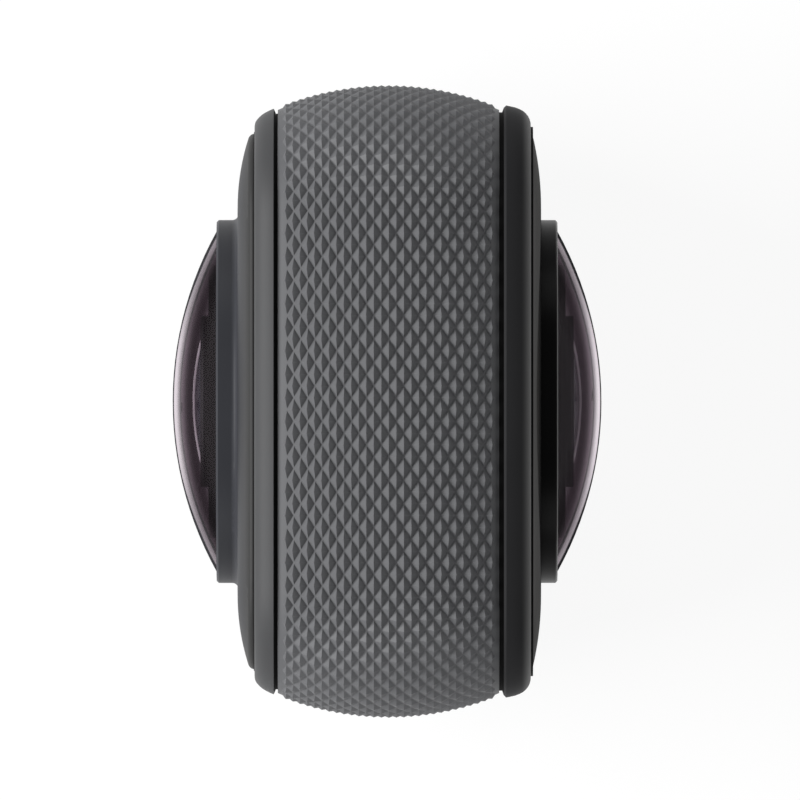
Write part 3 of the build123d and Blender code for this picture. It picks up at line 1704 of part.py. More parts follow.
# Display ribbon from the display's back to a plug on the rear of the main board
with BuildPart() as display_ribbon:
    start_y = display_back_y - ribbon_thickness / 2
    end_y = board_rear_y + connector_height + ribbon_thickness / 2
    add(
        ribbon(
            0,
            display_ribbon_width,
            (
                (start_y, board_high_z - display_ribbon_top_drop),
                (start_y, board_high_z - display_ribbon_turn_drop),
                (end_y, board_high_z - display_ribbon_turn_drop),
                (end_y, board_low_z + display_plug_rise),
            ),
            ribbon_bend,
        )
    )
    block(
        (-display_ribbon_width / 2 - connector_margin, display_ribbon_width / 2 + connector_margin),
        (board_rear_y, board_rear_y + connector_height),
        (board_low_z + display_plug_rise, board_low_z + display_plug_rise + connector_length),
    )
display_ribbon.part.label = "display_ribbon"
export_step(display_ribbon.part, "parts/display_ribbon.step")

# Sensor ribbons: the front one plugs into the board's front and the rear one into its rear
for name, side, plug_y, plug_face in (
    ("front", -1, board_front_y - connector_height, board_front_y),
    ("rear", 1, board_rear_y + connector_height, board_rear_y),
):
    with BuildPart() as sensor_ribbon:
        start_y = side * (sensor_face_depth + ribbon_thickness / 2)
        end_y = plug_y + side * ribbon_thickness / 2
        plug_z = board_high_z - sensor_plug_drop
        add(
            ribbon(
                -side * sensor_ribbon_x,
                sensor_ribbon_width,
                (
                    (start_y, sensor_board_low_z + sensor_ribbon_top_rise),
                    (start_y, board_high_z + sensor_ribbon_turn_rise),
                    (end_y, board_high_z + sensor_ribbon_turn_rise),
                    (end_y, plug_z),
                ),
                ribbon_bend,
            )
        )
        block(
            (
                -side * sensor_ribbon_x - sensor_ribbon_width / 2,
                -side * sensor_ribbon_x + sensor_ribbon_width / 2,
            ),
            sorted((plug_y, plug_face)),
            (plug_z, plug_z + connector_length),
        )
    sensor_ribbon.part.label = f"{name}_sensor_ribbon"
    export_step(sensor_ribbon.part, f"parts/{name}_sensor_ribbon.step")
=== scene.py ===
"""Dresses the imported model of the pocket 360 degree camera and lights it for its picture.

The file is laid out as an add-on and run as a script. Lengths are in metres: X runs across the
body, -Y is the front, +Z is up, and the picture looks straight down on the top of the camera.
"""

import json
import math

import bmesh
import bpy
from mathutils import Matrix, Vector


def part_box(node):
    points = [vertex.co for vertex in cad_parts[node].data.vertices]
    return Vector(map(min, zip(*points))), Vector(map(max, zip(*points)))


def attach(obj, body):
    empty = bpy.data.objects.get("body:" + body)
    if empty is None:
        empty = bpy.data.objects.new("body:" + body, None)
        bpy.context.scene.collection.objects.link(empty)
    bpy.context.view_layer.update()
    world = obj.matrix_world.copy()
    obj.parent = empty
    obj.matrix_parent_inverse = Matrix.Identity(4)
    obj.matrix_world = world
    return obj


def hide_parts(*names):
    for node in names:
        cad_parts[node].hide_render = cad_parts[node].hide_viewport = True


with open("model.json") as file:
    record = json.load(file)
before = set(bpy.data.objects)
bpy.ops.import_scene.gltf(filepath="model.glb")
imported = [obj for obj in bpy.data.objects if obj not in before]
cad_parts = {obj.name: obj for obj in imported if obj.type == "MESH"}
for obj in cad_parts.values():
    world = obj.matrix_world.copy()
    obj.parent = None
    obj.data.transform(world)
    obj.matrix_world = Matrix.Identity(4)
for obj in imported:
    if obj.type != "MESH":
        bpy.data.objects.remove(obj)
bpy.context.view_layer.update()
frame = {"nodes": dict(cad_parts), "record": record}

bl_info = {
    "name": "Pocket 360 Camera Dresser",
    "version": (1, 0, 0),
    "blender": (4, 5, 0),
    "location": "View3D > Sidebar > Camera Dresser",
    "description": "Knurled grip, coated lenses and finishes for a packed 360 degree camera",
    "category": "Object",
}

MM = 0.001
SLOT_OF = {row["node"]: row["material_slot"] for row in frame["record"]["subparts"]}

# Outline of the body and crown of its grip band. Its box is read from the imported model, and its
# corners and the crown's rise are as in the part's source
BAND_LOW, BAND_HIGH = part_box("grip_band")
BODY_WIDTH = BAND_HIGH[0] - BAND_LOW[0]
BODY_HEIGHT = BAND_HIGH[2] - BAND_LOW[2]
BODY_MIDDLE_Z = (BAND_HIGH[2] + BAND_LOW[2]) / 2
CROWN_MIDDLE_Y = (BAND_HIGH[1] + BAND_LOW[1]) / 2
CORNER_RADIUS = 9.9 * MM
CROWN_RISE = 1.58 * MM
CROWN_HALF = (BAND_HIGH[1] - BAND_LOW[1]) / 2
CROWN_RADIUS = (CROWN_HALF**2 + CROWN_RISE**2) / (2 * CROWN_RISE)
OUTLINE_LENGTH = (
    2 * (BODY_WIDTH - 2 * CORNER_RADIUS)
    + 2 * (BODY_HEIGHT - 2 * CORNER_RADIUS)
    + 2 * math.pi * CORNER_RADIUS
)
OUTLINE = {
    "Outline width": BODY_WIDTH,
    "Outline height": BODY_HEIGHT,
    "Outline middle": BODY_MIDDLE_Z,
    "Corner radius": CORNER_RADIUS,
}

# Height of the axis that the lenses share, and radius over which the inner ones change colour
FRONT_RING_LOW, FRONT_RING_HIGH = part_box("front_lens_ring")
LENS_Z = (FRONT_RING_LOW[2] + FRONT_RING_HIGH[2]) / 2
ELEMENT_RADIUS = 5.6 * MM

# The ring that the knurl is cut from: its depth under the crown, the slope beside its outer rows,
# and how far round the crown its plain strips reach and how low they end
KNURL_DEPTH = 6.0 * MM
STRIP_SLOPE = 0.3 * MM
STRIP_ANGLE = math.radians(27.0)
STRIP_END_SHARE = 0.75

# Points this close are welded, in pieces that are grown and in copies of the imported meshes
GROWN_WELD = 0.002 * MM
PACKED_WELD = 0.0001 * MM
# A cut that goes wrong leaves fewer faces than this of a knurled piece
LEAST_FACES = 100

# Size of the patches in a moulded, painted or machined finish, and how far its gloss wanders
PATCH_SIZE = 6.0 * MM
WEAR = 0.06

# Middle of the picture, just under the round corners, where the body has its full width
PICTURE_MIDDLE = (-0.109 * MM, 0.945 * MM, 101.0 * MM)
# What the lamps point at
LAMP_TARGET = Vector((0.0, 0.0, 0.08))
# Soft boxes: name, turn about the upright axis, climb, distance, width, height and setting
LAMPS = (
    ("key_light", -90.0, 30.0, 0.9, 0.8, 0.4, "key_light"),
    ("low_side_light", 0.0, 15.0, 0.8, 0.5, 0.4, "side_light"),
    ("far_side_light", 180.0, 15.0, 0.8, 0.5, 0.4, "side_light"),
    ("rear_light", 90.0, 27.0, 0.8, 0.5, 0.2, "rear_light"),
)
# The floor lies a hair under the foot, so that the two don't flicker through each other
FLOOR_REACH = 3.0
FLOOR_DROP = 0.02 * MM


def length_setting(name, description, default):
    """A length that a user would change."""
    return bpy.props.FloatProperty(
        name=name, description=description, default=default, unit="LENGTH", precision=6
    )


def share_setting(name, description, default, most):
    """A share that a user would change."""
    return bpy.props.FloatProperty(
        name=name, description=description, default=default, min=0.1, max=most, subtype="FACTOR"
    )


def level_setting(name, description, default, least=0.0):
    """A plain number that a user would change."""
    return bpy.props.FloatProperty(name=name, description=description, default=default, min=least)


def colour_setting(name, description, default):
    """A colour that a user would change."""
    return bpy.props.FloatVectorProperty(
        name=name, description=description, default=default, subtype="COLOR"
    )


class KnurlSettings(bpy.types.PropertyGroup):
    """Sizes of the pyramids moulded into the grip band."""

    around: bpy.props.IntProperty(
        name="Pyramids around", description="Pyramids in one ring round the body", default=176, min=8
    )
    across: bpy.props.IntProperty(
        name="Pyramids across", description="Pyramids across the band", default=14, min=2
    )
    pitch: length_setting("Pitch across", "Distance between pyramids across the band", 1.097 * MM)
    height: length_setting("Height", "Height of a pyramid", 0.38 * MM)
    fill: share_setting(
        "Fill", "Share of each cell that its pyramid covers, the rest being groove", 0.9, 0.99
    )
    start: length_setting(
        "Front edge", "Depth at which the pyramids start, at the front of the band", -7.375 * MM
    )
    shift: length_setting("Shift", "How far the pattern is turned along the outline", -0.068 * MM)
    side_relief: share_setting(
        "Side relief",
        "Height of the pyramids on the long sides, as a share of their height on the top",
        0.5,
        1.0,
    )
    sink: length_setting(
        "Sink", "How far the pyramids' tips lie under the band's crown", 0.03 * MM
    )


class FootSettings(bpy.types.PropertyGroup):
    """Sizes of the tripod thread and of the recesses in the foot's screws."""

    pitch: length_setting("Thread pitch", "Rise of the tripod thread in one turn", 1.27 * MM)
    bore: length_setting("Bore radius", "Radius of the tripod bush's bore", 3.175 * MM)
    depth: length_setting(
        "Thread depth", "How far the thread's crest stands out from the bore's wall", 0.62 * MM
    )
    root_width: length_setting("Root width", "Width of the thread's ridge at its root", 1.04 * MM)
    crest_width: length_setting("Crest width", "Width of the thread's ridge at its crest", 0.18 * MM)
    start: length_setting("Thread start", "Height of the thread's lower end", 0.85 * MM)
    turns: level_setting("Turns", "Turns of the tripod thread", 4.0, 1.0)
    recess: length_setting(
        "Recess radius",
        "Radius over the points of the screws' drive recess, before they are rounded",
        0.85 * MM,
    )
    recess_depth: length_setting("Recess depth", "Depth of the screws' drive recess", 0.8 * MM)


class FinishSettings(bpy.types.PropertyGroup):
    """Colours of the outside of the camera."""

    grip: colour_setting("Grip", "Colour of the knurled band", (0.09, 0.091, 0.0955))
    front_cover: colour_setting("Front cover", "Colour of the front panel", (0.0175, 0.018, 0.0205))
    front_frame: colour_setting(
        "Front frame", "Colour of the metal frame round the front panel", (0.0425, 0.043, 0.0445)
    )
    rear_frame: colour_setting(
        "Rear frame", "Colour of the metal frame round the rear panel", (0.0185, 0.0185, 0.0195)
    )
    coating: colour_setting(
        "Coating", "Tint of the light that the lens domes reflect", (0.96, 0.88, 0.94)
    )
    glass: colour_setting(
        "Glass", "Tint of the light that passes one surface of a lens dome", (0.37, 0.335, 0.36)
    )


class StageSettings(bpy.types.PropertyGroup):
    """Camera and light of the picture."""

    lens: level_setting("Lens", "Focal length of the picture's camera, in mm", 1500.0, 50.0)
    view_width: length_setting(
        "View width", "Width of the picture at the top of the body", 58.136 * MM
    )
    key_light: level_setting("Key light", "Level of the light in front of the camera", 2.1)
    side_light: level_setting("Side lights", "Level of each light beside the camera", 0.3)
    rear_light: level_setting("Rear light", "Level of the light behind the camera", 0.35)
    ambient: level_setting("Ambient", "Light of the surroundings on matt surfaces", 0.09)


# Shader and geometry trees


class Value:
    """A node's socket that takes part in arithmetic, adding Math nodes as it goes."""

    def __init__(self, tree, socket):
        self.tree = tree
        self.socket = socket

    def _math(self, operation, *others):
        return self.tree.node("ShaderNodeMath", {"operation": operation}, *others)

    def __add__(self, other):
        return self._math("ADD", self, other)

    def __radd__(self, other):
        return self._math("ADD", other, self)

    def __sub__(self, other):
        return self._math("SUBTRACT", self, other)

    def __rsub__(self, other):
        return self._math("SUBTRACT", other, self)

    def __mul__(self, other):
        return self._math("MULTIPLY", self, other)

    def __rmul__(self, other):
        return self._math("MULTIPLY", other, self)

    def __truediv__(self, other):
        return self._math("DIVIDE", self, other)

    def __rtruediv__(self, other):
        return self._math("DIVIDE", other, self)

    def __pow__(self, other):
        return self._math("POWER", self, other)

    def __abs__(self):
        return self._math("ABSOLUTE", self)

    def __neg__(self):
        return self._math("MULTIPLY", self, -1.0)

    def at_least(self, other):
        """The larger of this and another value."""
        return self._math("MAXIMUM", self, other)

    def at_most(self, other):
        """The smaller of this and another value."""
        return self._math("MINIMUM", self, other)

    def wave(self, operation):
        """Sine or cosine of the value."""
        return self._math(operation, self)

    def smooth(self, start, end):
        """0 before start, 1 after end, and a soft step between them."""
        settings = {"interpolation_type": "SMOOTHSTEP"}
        return self.tree.node("ShaderNodeMapRange", settings, self, start, end, 0.0, 1.0)

    def part(self, axis):
        """One coordinate of a vector."""
        return self.tree.node("ShaderNodeSeparateXYZ", {}, self, out=axis)

    def output(self, name):
        """Another output of the same node."""
        return Value(self.tree, self.socket.node.outputs[name])


class Tree:
    """A node tree under construction, for a material, the world or a modifier."""

    def __init__(self, node_tree):
        self.node_tree = node_tree

    def node(self, kind, settings, *inputs, out=0, **named):
        """Adds a node: its settings first, then its inputs in order or by name.

        Gives the output that out says, or nothing where out is None.
        """
        made = self.node_tree.nodes.new(kind)
        for key, value in settings.items():
            if key == "stops":
                ramp = made.color_ramp.elements
                while len(ramp) < len(value):
                    ramp.new(1.0)
                for element, (position, colour) in zip(ramp, value):
                    element.position = position
                    element.color = (*colour, 1.0)
            else:
                setattr(made, key, value)
        pairs = list(enumerate(inputs))
        pairs += [(key.replace("_", " "), value) for key, value in named.items()]
        for key, value in pairs:
            if value is not None:
                self.feed(made.inputs[key], value)
        return None if out is None else Value(self, made.outputs[out])

    def feed(self, socket, value):
        """Links a value or a list of them to a socket, or sets the socket to a constant."""
        if isinstance(value, Value):
            self.node_tree.links.new(value.socket, socket)
        elif isinstance(value, list):
            for part in value:
                self.feed(socket, part)
        elif isinstance(value, tuple) and len(value) == 3 and socket.type == "RGBA":
            socket.default_value = (*value, 1.0)
        else:
            socket.default_value = value

    def mix(self, factor, first, second):
        """Colour between two colours, whose sockets follow five for numbers and vectors."""
        skipped = [None] * 5
        return self.node("ShaderNodeMix", {"data_type": "RGBA"}, factor, *skipped, first, second, out=2)

    def direct(self, seen):
        """1 on rays that see a thing in gloss or through glass, and seen on the camera's own."""
        camera = self.node("ShaderNodeLightPath", {}, out="Is Camera Ray")
        glossy = camera.output("Is Glossy Ray")
        return (camera * seen).at_least(glossy).at_least(camera.output("Is Transmission Ray"))


class Finish(Tree):
    """The tree of a new material, with the steps that most finishes here are made of."""

    def __init__(self, name):
        self.material = bpy.data.materials.new(name)
        self.material.use_nodes = True
        self.material.node_tree.nodes.clear()
        super().__init__(self.material.node_tree)

    def place(self):
        """The object's own coordinates."""
        return self.node("ShaderNodeTexCoord", {}, out="Object")

    def off_axis(self):
        """Distance from the axis that the two lenses share."""
        place = self.place()
        across = place.part("X")
        height = place.part("Z") - LENS_Z
        return (across * across + height * height) ** 0.5

    def slant(self):
        """0 where a face is seen head on, towards 1 where it is seen edge on."""
        return self.node("ShaderNodeLayerWeight", {}, out="Facing", Blend=0.5)

    def spots(self, size, detail=3.0):
        """Noise from 0 to 1 with grains of some size."""
        scale = 1.0 / size
        return self.node(
            "ShaderNodeTexNoise", {}, self.place(), out="Fac", Scale=scale, Detail=detail, Roughness=0.55
        )

    def ramp(self, share, stops):
        """Colour at a share of the way along some stops."""
        return self.node("ShaderNodeValToRGB", {"stops": stops}, share, out="Color")

    def bump(self, height, distance):
        """Relief of some distance, from a height between 0 and 1."""
        return self.node(
            "ShaderNodeBump", {}, out="Normal", Strength=1.0, Distance=distance, Height=height
        )

    def edged(self, tone, edge):
        """A tone that turns to another over a span of depth, to the front or the rear; here always a
        band of painted light.
        """
        start, end, other = edge
        return self.mix(abs(self.place().part("Y")).smooth(start, end), tone, other)

    def gloss(self, **sockets):
        """A surface with gloss."""
        return self.node("ShaderNodeBsdfPrincipled", {}, out="BSDF", **sockets)

    def simple(self, kind, colour):
        """A diffuse or transparent surface."""
        return self.node("ShaderNodeBsdf" + kind, {}, colour, out="BSDF")

    def blend(self, share, first, second):
        """One surface that turns into another."""
        return self.node("ShaderNodeMixShader", {}, share, first, second, out="Shader")

    def done(self, shader):
        """Ends the tree in a surface, and gives the material."""
        self.node("ShaderNodeOutputMaterial", {}, out=None, Surface=shader)
        return self.material


def grey(level):
    """A colour without a hue."""
    return (level, level, level)


def edge_of(node, start, end, tone):
    """Where a finish turns to a band of painted light: from and to so many mm under a node's outer face.
    """
    low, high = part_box(node)
    face = max(-low[1], high[1])
    return face - start * MM, face - end * MM, tone


def finish(
    name,
    colour,
    roughness,
    specular=0.5,
    metallic=0.0,
    grain=0.12 * MM,
    relief=0.004 * MM,
    variety=0.08,
    edge=None,
):
    """Moulded, painted or machined finish: patchy colour and gloss over a fine grain, with a band of
    painted light where an edge is given.
    """
    tree = Finish(name)
    patch = tree.spots(PATCH_SIZE)
    fine = tree.spots(grain, 2.0)
    darker = tuple(part * (1.0 - variety) for part in colour)
    lighter = tuple(min(1.0, part * (1.0 + variety)) for part in colour)
    tone = tree.mix(patch, darker, lighter)
    if edge:
        tone = tree.edged(tone, edge)
    shader = tree.gloss(
        Base_Color=tone,
        Roughness=roughness + (patch - 0.5) * WEAR + (fine - 0.5) * WEAR,
        Metallic=metallic,
        Specular_IOR_Level=specular,
        Normal=tree.bump(fine, relief),
    )
    return tree.done(shader)


def dome_material(name, coating, tint):
    """Coated glass: clear when faced, darker at a slant, with a pale rim inside a thin dark edge of
    painted shade.
    """
    tree = Finish(name)
    slant = tree.slant()
    away = tree.off_axis()
    # Share of the light that the coating throws back, by how slanted the glass is seen
    mirrored = (
        (0.0, 0.012), (0.4, 0.014), (0.5, 0.022), (0.7, 0.02), (0.75, 0.035), (0.78, 0.1), (0.8, 0.2),
        (0.82, 0.38), (0.84, 0.62), (0.865, 0.78), (0.9, 0.8), (0.92, 0.6),
    )
    share = tree.ramp(slant, [(place, grey(level)) for place, level in mirrored])
    # It throws back less towards the rim, and its film is a little uneven
    share = share * (1.0 - away.smooth(3.5 * MM, 10.5 * MM) * 0.7) + tree.spots(9.0 * MM) * 0.004
    clear = tree.simple("Transparent", (0.76, 0.74, 0.76))
    glass = tree.blend(slant.smooth(0.61, 0.69), clear, tree.simple("Transparent", tint))
    mirror = tree.node("ShaderNodeBsdfAnisotropic", {}, out="BSDF", Color=coating, Roughness=0.03)
    lens = tree.blend(share, glass, mirror)
    # At the very edge the glass turns to a dark matt surface: painted shade
    dark_edge_painted_shade = (slant + away.smooth(5.0 * MM, 11.0 * MM) * 0.04).smooth(0.905, 0.935)
    return tree.done(tree.blend(dark_edge_painted_shade, lens, tree.simple("Diffuse", (0.02, 0.02, 0.022))))


def element_material(name):
    """Inner lens: black glass whose coating turns from violet to green towards its rim, and whose edge,
    seen edge on, turns white: a painted highlight.
    """
    tree = Finish(name)
    slant = tree.slant()
    tone = tree.ramp(
        tree.off_axis() / ELEMENT_RADIUS,
        ((0.0, (0.012, 0.006, 0.02)), (0.55, (0.02, 0.008, 0.03)), (1.0, (0.006, 0.02, 0.022))),
    )
    lens = tree.gloss(
        Base_Color=tone,
        Roughness=0.05 + tree.spots(3.0 * MM) * 0.02,
        Specular_IOR_Level=0.1,
        Coat_Weight=0.7 - slant.smooth(0.5, 0.8) * 0.68,
        Coat_Roughness=0.02,
        Coat_Tint=(0.75, 0.95, 0.9),
    )
    # A white matt surface where the element is seen edge on: a painted highlight
    painted_edge_highlight = tree.simple("Diffuse", (0.94, 0.95, 0.94))
    return tree.done(tree.blend(slant.smooth(0.85, 0.9), lens, painted_edge_highlight))


def cover_glass_material(name):
    """Black cover glass, a shade bluer over the unlit display than on its border, with painted light on
    its side.
    """
    tree = Finish(name)
    place = tree.place()
    low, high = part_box("display_module")
    border = 1.2 * MM
    side = high[0] - border - abs(place.part("X"))
    tall = (high[2] - low[2]) / 2 - border - abs(place.part("Z") - (high[2] + low[2]) / 2)
    window = side.at_most(tall).smooth(0.0, 0.1 * MM)
    tone = tree.mix(window, (0.004, 0.004, 0.0045), (0.007, 0.008, 0.011))
    shader = tree.gloss(
        # Under its outer face the glass turns grey: painted light on its side
        Base_Color=tree.edged(tone, edge_of("rear_panel", -0.06, 0.34, (0.034, 0.033, 0.032))),
        Roughness=0.12 + tree.spots(14.0 * MM) * 0.06,
        Specular_IOR_Level=0.0,
        Coat_Weight=0.75 - tree.slant().smooth(0.5, 0.85) * 0.68,
        Coat_Roughness=0.03,
    )
    return tree.done(shader)


def board_material(name):
    """Solder mask with fine copper runs under it."""
    tree = Finish(name)
    cells = tree.node(
        "ShaderNodeTexVoronoi",
        {"feature": "DISTANCE_TO_EDGE"},
        tree.place(),
        out="Distance",
        Scale=1.0 / (1.3 * MM),
    )
    run = 1.0 - cells.smooth(0.03, 0.08)
    shader = tree.gloss(
        Base_Color=tree.mix(run, (0.006, 0.035, 0.018), (0.012, 0.075, 0.035)),
        Roughness=0.3 + tree.spots(2.0 * MM) * 0.1,
        Normal=tree.bump(run, 0.01 * MM),
    )
    return tree.done(shader)


def turned_metal_material(name, colour):
    """Metal turned on a lathe: rings of fine scratches about the upright axis."""
    tree = Finish(name)
    place = tree.place()
    across = place.part("X")
    depth = place.part("Y")
    radius = (across * across + depth * depth) ** 0.5
    rings = tree.node(
        "ShaderNodeTexNoise", {"noise_dimensions": "1D"}, out="Fac", W=radius, Scale=1.0 / (0.05 * MM)
    )
    shader = tree.gloss(
        Base_Color=tree.mix(rings, tuple(part * 0.8 for part in colour), colour),
        Metallic=1.0,
        Roughness=0.28 + rings * 0.12,
        Normal=tree.bump(rings, 0.003 * MM),
    )
    return tree.done(shader)


def perforated_material(name, pitch):
    """Steel sheet with rows of small holes, whose darkness is painted shade."""
    tree = Finish(name)
    cells = tree.node(
        "ShaderNodeTexVoronoi", {}, tree.place(), out="Distance", Scale=1.0 / pitch, Randomness=0.0
    )
    metal = cells.smooth(0.31, 0.41)
    shader = tree.gloss(
        # The holes are painted near black: painted shade
        Base_Color=tree.mix(metal, grey(0.002), (0.11, 0.11, 0.115)),
        Metallic=metal * 0.9,
        Roughness=0.35 + tree.spots(0.5 * MM) * 0.1,
        Normal=tree.bump(metal, 0.03 * MM),
    )
    return tree.done(shader)


def make_finishes(settings):
    """A material for each of the record's slots, and for a few nodes one of their own."""
    # Bands of painted light, each lighter than the finish that it sits on
    front_baffle_painted_highlight = edge_of("front_lens_baffle", 0.23, 0.21, grey(0.12))
    rear_baffle_painted_highlight = edge_of("rear_lens_baffle", 0.23, 0.21, grey(0.12))
    ring_lip_painted_highlight = edge_of("rear_lens_ring", 0.08, 0.06, grey(0.15))
    frame_edge_painted_reflection = edge_of("rear_frame", 0.65, -0.1, grey(0.095))
    cover_side_painted_light = edge_of("front_panel", 0.1, 0.9, grey(0.0225))
    front_frame, rear_frame = tuple(settings.front_frame), tuple(settings.rear_frame)
    front_cover = tuple(settings.front_cover)
    return {
        "cast_metal": finish("cast_metal", (0.006, 0.006, 0.0065), 0.6, specular=0.1, grain=0.3 * MM),
        "grip": finish(
            "grip", tuple(settings.grip), 0.5, specular=0.16, grain=0.06 * MM, relief=0.003 * MM
        ),
        "front_metal": finish("front_metal", front_frame, 0.5, specular=0.12),
        # Lighter towards its rounded outer edge: a painted reflection
        "rear_metal": finish("rear_metal", rear_frame, 0.5, specular=0.03, edge=frame_edge_painted_reflection),
        # Lighter on its side towards the frame: painted light
        "front_cover": finish("front_cover", front_cover, 0.5, specular=0.1, edge=cover_side_painted_light),
        "rear_cover": cover_glass_material("rear_cover"),
        "front_ring": finish("front_ring", (0.03, 0.031, 0.036), 0.42, specular=0.08),
        # Its lip is painted pale grey: a painted highlight
        "rear_ring": finish("rear_ring", (0.0015, 0.0015, 0.0016), 0.3, specular=0.03, edge=ring_lip_painted_highlight),
        "dome_glass": dome_material("dome_glass", tuple(settings.coating), tuple(settings.glass)),
        "element_glass": element_material("element_glass"),
        "black_plastic": finish("black_plastic", (0.016, 0.016, 0.017), 0.5, specular=0.1),
        # Near black; the strips in the seams beside the covers that use it are painted shade
        "seal_rubber": finish("seal_rubber", grey(0.003), 0.7, specular=0.04),
        "circuit_board": board_material("circuit_board"),
        "steel": finish("steel", (0.32, 0.32, 0.33), 0.3, metallic=1.0, variety=0.05),
        "foot_metal": finish("foot_metal", (0.03, 0.03, 0.033), 0.42, specular=0.25),
        "speaker_mesh": perforated_material("speaker_mesh", 0.42 * MM),
        "front_microphone": perforated_material("front_microphone_mesh", 0.2 * MM),
        "rear_microphone": perforated_material("rear_microphone_mesh", 0.2 * MM),
        # Its outer edge is painted pale grey: a painted highlight
        "front_lens_baffle": finish(
            "front_baffle", (0.04, 0.039, 0.038), 0.5, specular=0.05, edge=front_baffle_painted_highlight
        ),
        # Its outer edge is painted pale grey, a painted highlight, and its grey is lighter than the
        # front baffle's to make up for the less light that reaches it: painted light
        "rear_lens_baffle": finish(
            "rear_baffle", (0.055, 0.054, 0.053), 0.5, specular=0.05, edge=rear_baffle_painted_highlight
        ),
        "thread_metal": turned_metal_material("thread_metal", (0.42, 0.41, 0.38)),
        "battery_plastic": finish("battery_plastic", (0.02, 0.02, 0.022), 0.55, specular=0.3),
        "door_plastic": finish("door_plastic", (0.03, 0.03, 0.032), 0.5, specular=0.3),
        "button_plastic": finish("button_plastic", (0.02, 0.02, 0.022), 0.45, specular=0.3),
        "screen": finish("screen", (0.006, 0.007, 0.009), 0.12),
        "light_guide": finish("light_guide", (0.3, 0.31, 0.31), 0.25),
        "ribbon_film": finish("ribbon_film", (0.3, 0.11, 0.02), 0.3),
    }


# Pieces


def new_piece(name, mesh):
    """An object for a mesh whose points are already in place."""
    piece = bpy.data.objects.new(name, mesh)
    bpy.context.scene.collection.objects.link(piece)
    return piece


def shaped_piece(name, points, edges, faces):
    """An object for a mesh of these points, edges and faces."""
    mesh = bpy.data.meshes.new(name)
    mesh.from_pydata([Vector(point) for point in points], edges, faces)
    return new_piece(name, mesh)


def section(points):
    """A closed loop of flat points, for a tree to carry along a path."""
    count = len(points)
    edges = [(index, (index + 1) % count) for index in range(count)]
    return shaped_piece("profile", [(x, y, 0.0) for x, y in points], edges, [])


def welded_copy(node, name):
    """A CAD node's mesh as a closed piece of its own."""
    mesh = frame["nodes"][node].data.copy()
    mesh.materials.clear()
    shell = bmesh.new()
    shell.from_mesh(mesh)
    bmesh.ops.remove_doubles(shell, verts=shell.verts, dist=PACKED_WELD)
    shell.to_mesh(mesh)
    shell.free()
    if mesh.has_custom_normals:
        mesh.attributes.remove(mesh.attributes["custom_normal"])
    return new_piece(name, mesh)


def bake_down(piece):
    """Turns what a piece's modifiers make of it into its own plain mesh."""
    bpy.context.view_layer.update()
    graph = bpy.context.evaluated_depsgraph_get()
    mesh = bpy.data.meshes.new_from_object(piece.evaluated_get(graph), depsgraph=graph)
    mesh.name = piece.name
    piece.modifiers.clear()
    piece.data = mesh


def cut(piece, cutter, operation):
    """Applies a boolean with another piece, and leaves a plain mesh."""
    modifier = piece.modifiers.new("Cut", "BOOLEAN")
    modifier.operation = operation
    modifier.solver = "EXACT"
    modifier.object = cutter
    bake_down(piece)


def sharpen(mesh, degrees):
    """Smooth shading with every edge over an angle kept sharp."""
    mesh.shade_smooth()
    mesh.set_sharp_from_angle(angle=math.radians(degrees))


def settle(mesh):
    """Welds a mesh, turns its faces outwards and makes sure that it is closed."""
    shell = bmesh.new()
    shell.from_mesh(mesh)
    bmesh.ops.remove_doubles(shell, verts=shell.verts, dist=GROWN_WELD)
    bmesh.ops.recalc_face_normals(shell, faces=shell.faces)
    open_edges = sum(1 for edge in shell.edges if not edge.is_manifold)
    shell.to_mesh(mesh)
    shell.free()
    if open_edges:
        raise RuntimeError(f"{mesh.name} has {open_edges} open edges")


def remove_piece(piece):
    """Takes a helper out of the file."""
    mesh = piece.data
    bpy.data.objects.remove(piece)
    bpy.data.meshes.remove(mesh)


def new_tree(name, objects=(), counts=(), sizes=()):
    """An empty geometry tree with named inputs, and what its inputs give."""
    group = bpy.data.node_groups.new(name, "GeometryNodeTree")
    group.is_modifier = True
    group.interface.new_socket("Geometry", in_out="OUTPUT", socket_type="NodeSocketGeometry")
    for kind, labels in (
        ("Geometry", ("Geometry",)),
        ("Object", objects),
        ("Int", counts),
        ("Float", sizes),
        ("Material", ("Material",)),
    ):
        for label in labels:
            group.interface.new_socket(label, in_out="INPUT", socket_type="NodeSocket" + kind)
    tree = Tree(group)
    entry = tree.node("NodeGroupInput", {}).socket.node
    return tree, {socket.name: Value(tree, socket) for socket in entry.outputs if socket.name}


def end_tree(tree, geometry, material):
    """Ends a geometry tree in Realize Instances and Set Material, and gives its group."""
    solid = tree.node("GeometryNodeRealizeInstances", {}, geometry, out="Geometry")
    dressed = tree.node("GeometryNodeSetMaterial", {}, solid, out="Geometry", Material=material)
    tree.node("NodeGroupOutput", {}, dressed, out=None)
    return tree.node_tree


def grow(name, group, values):
    """A closed piece that a tree makes from these named inputs, whose helpers are then removed."""
    piece = new_piece(name, bpy.data.meshes.new(name))
    modifier = piece.modifiers.new(group.name, "NODES")
    modifier.node_group = group
    for item in group.interface.items_tree:
        if item.in_out == "INPUT" and item.name in values:
            modifier[item.identifier] = values[item.name]
    bake_down(piece)
    for value in values.values():
        if isinstance(value, bpy.types.Object):
            remove_piece(value)
    settle(piece.data)
    return piece


# Knurled grip


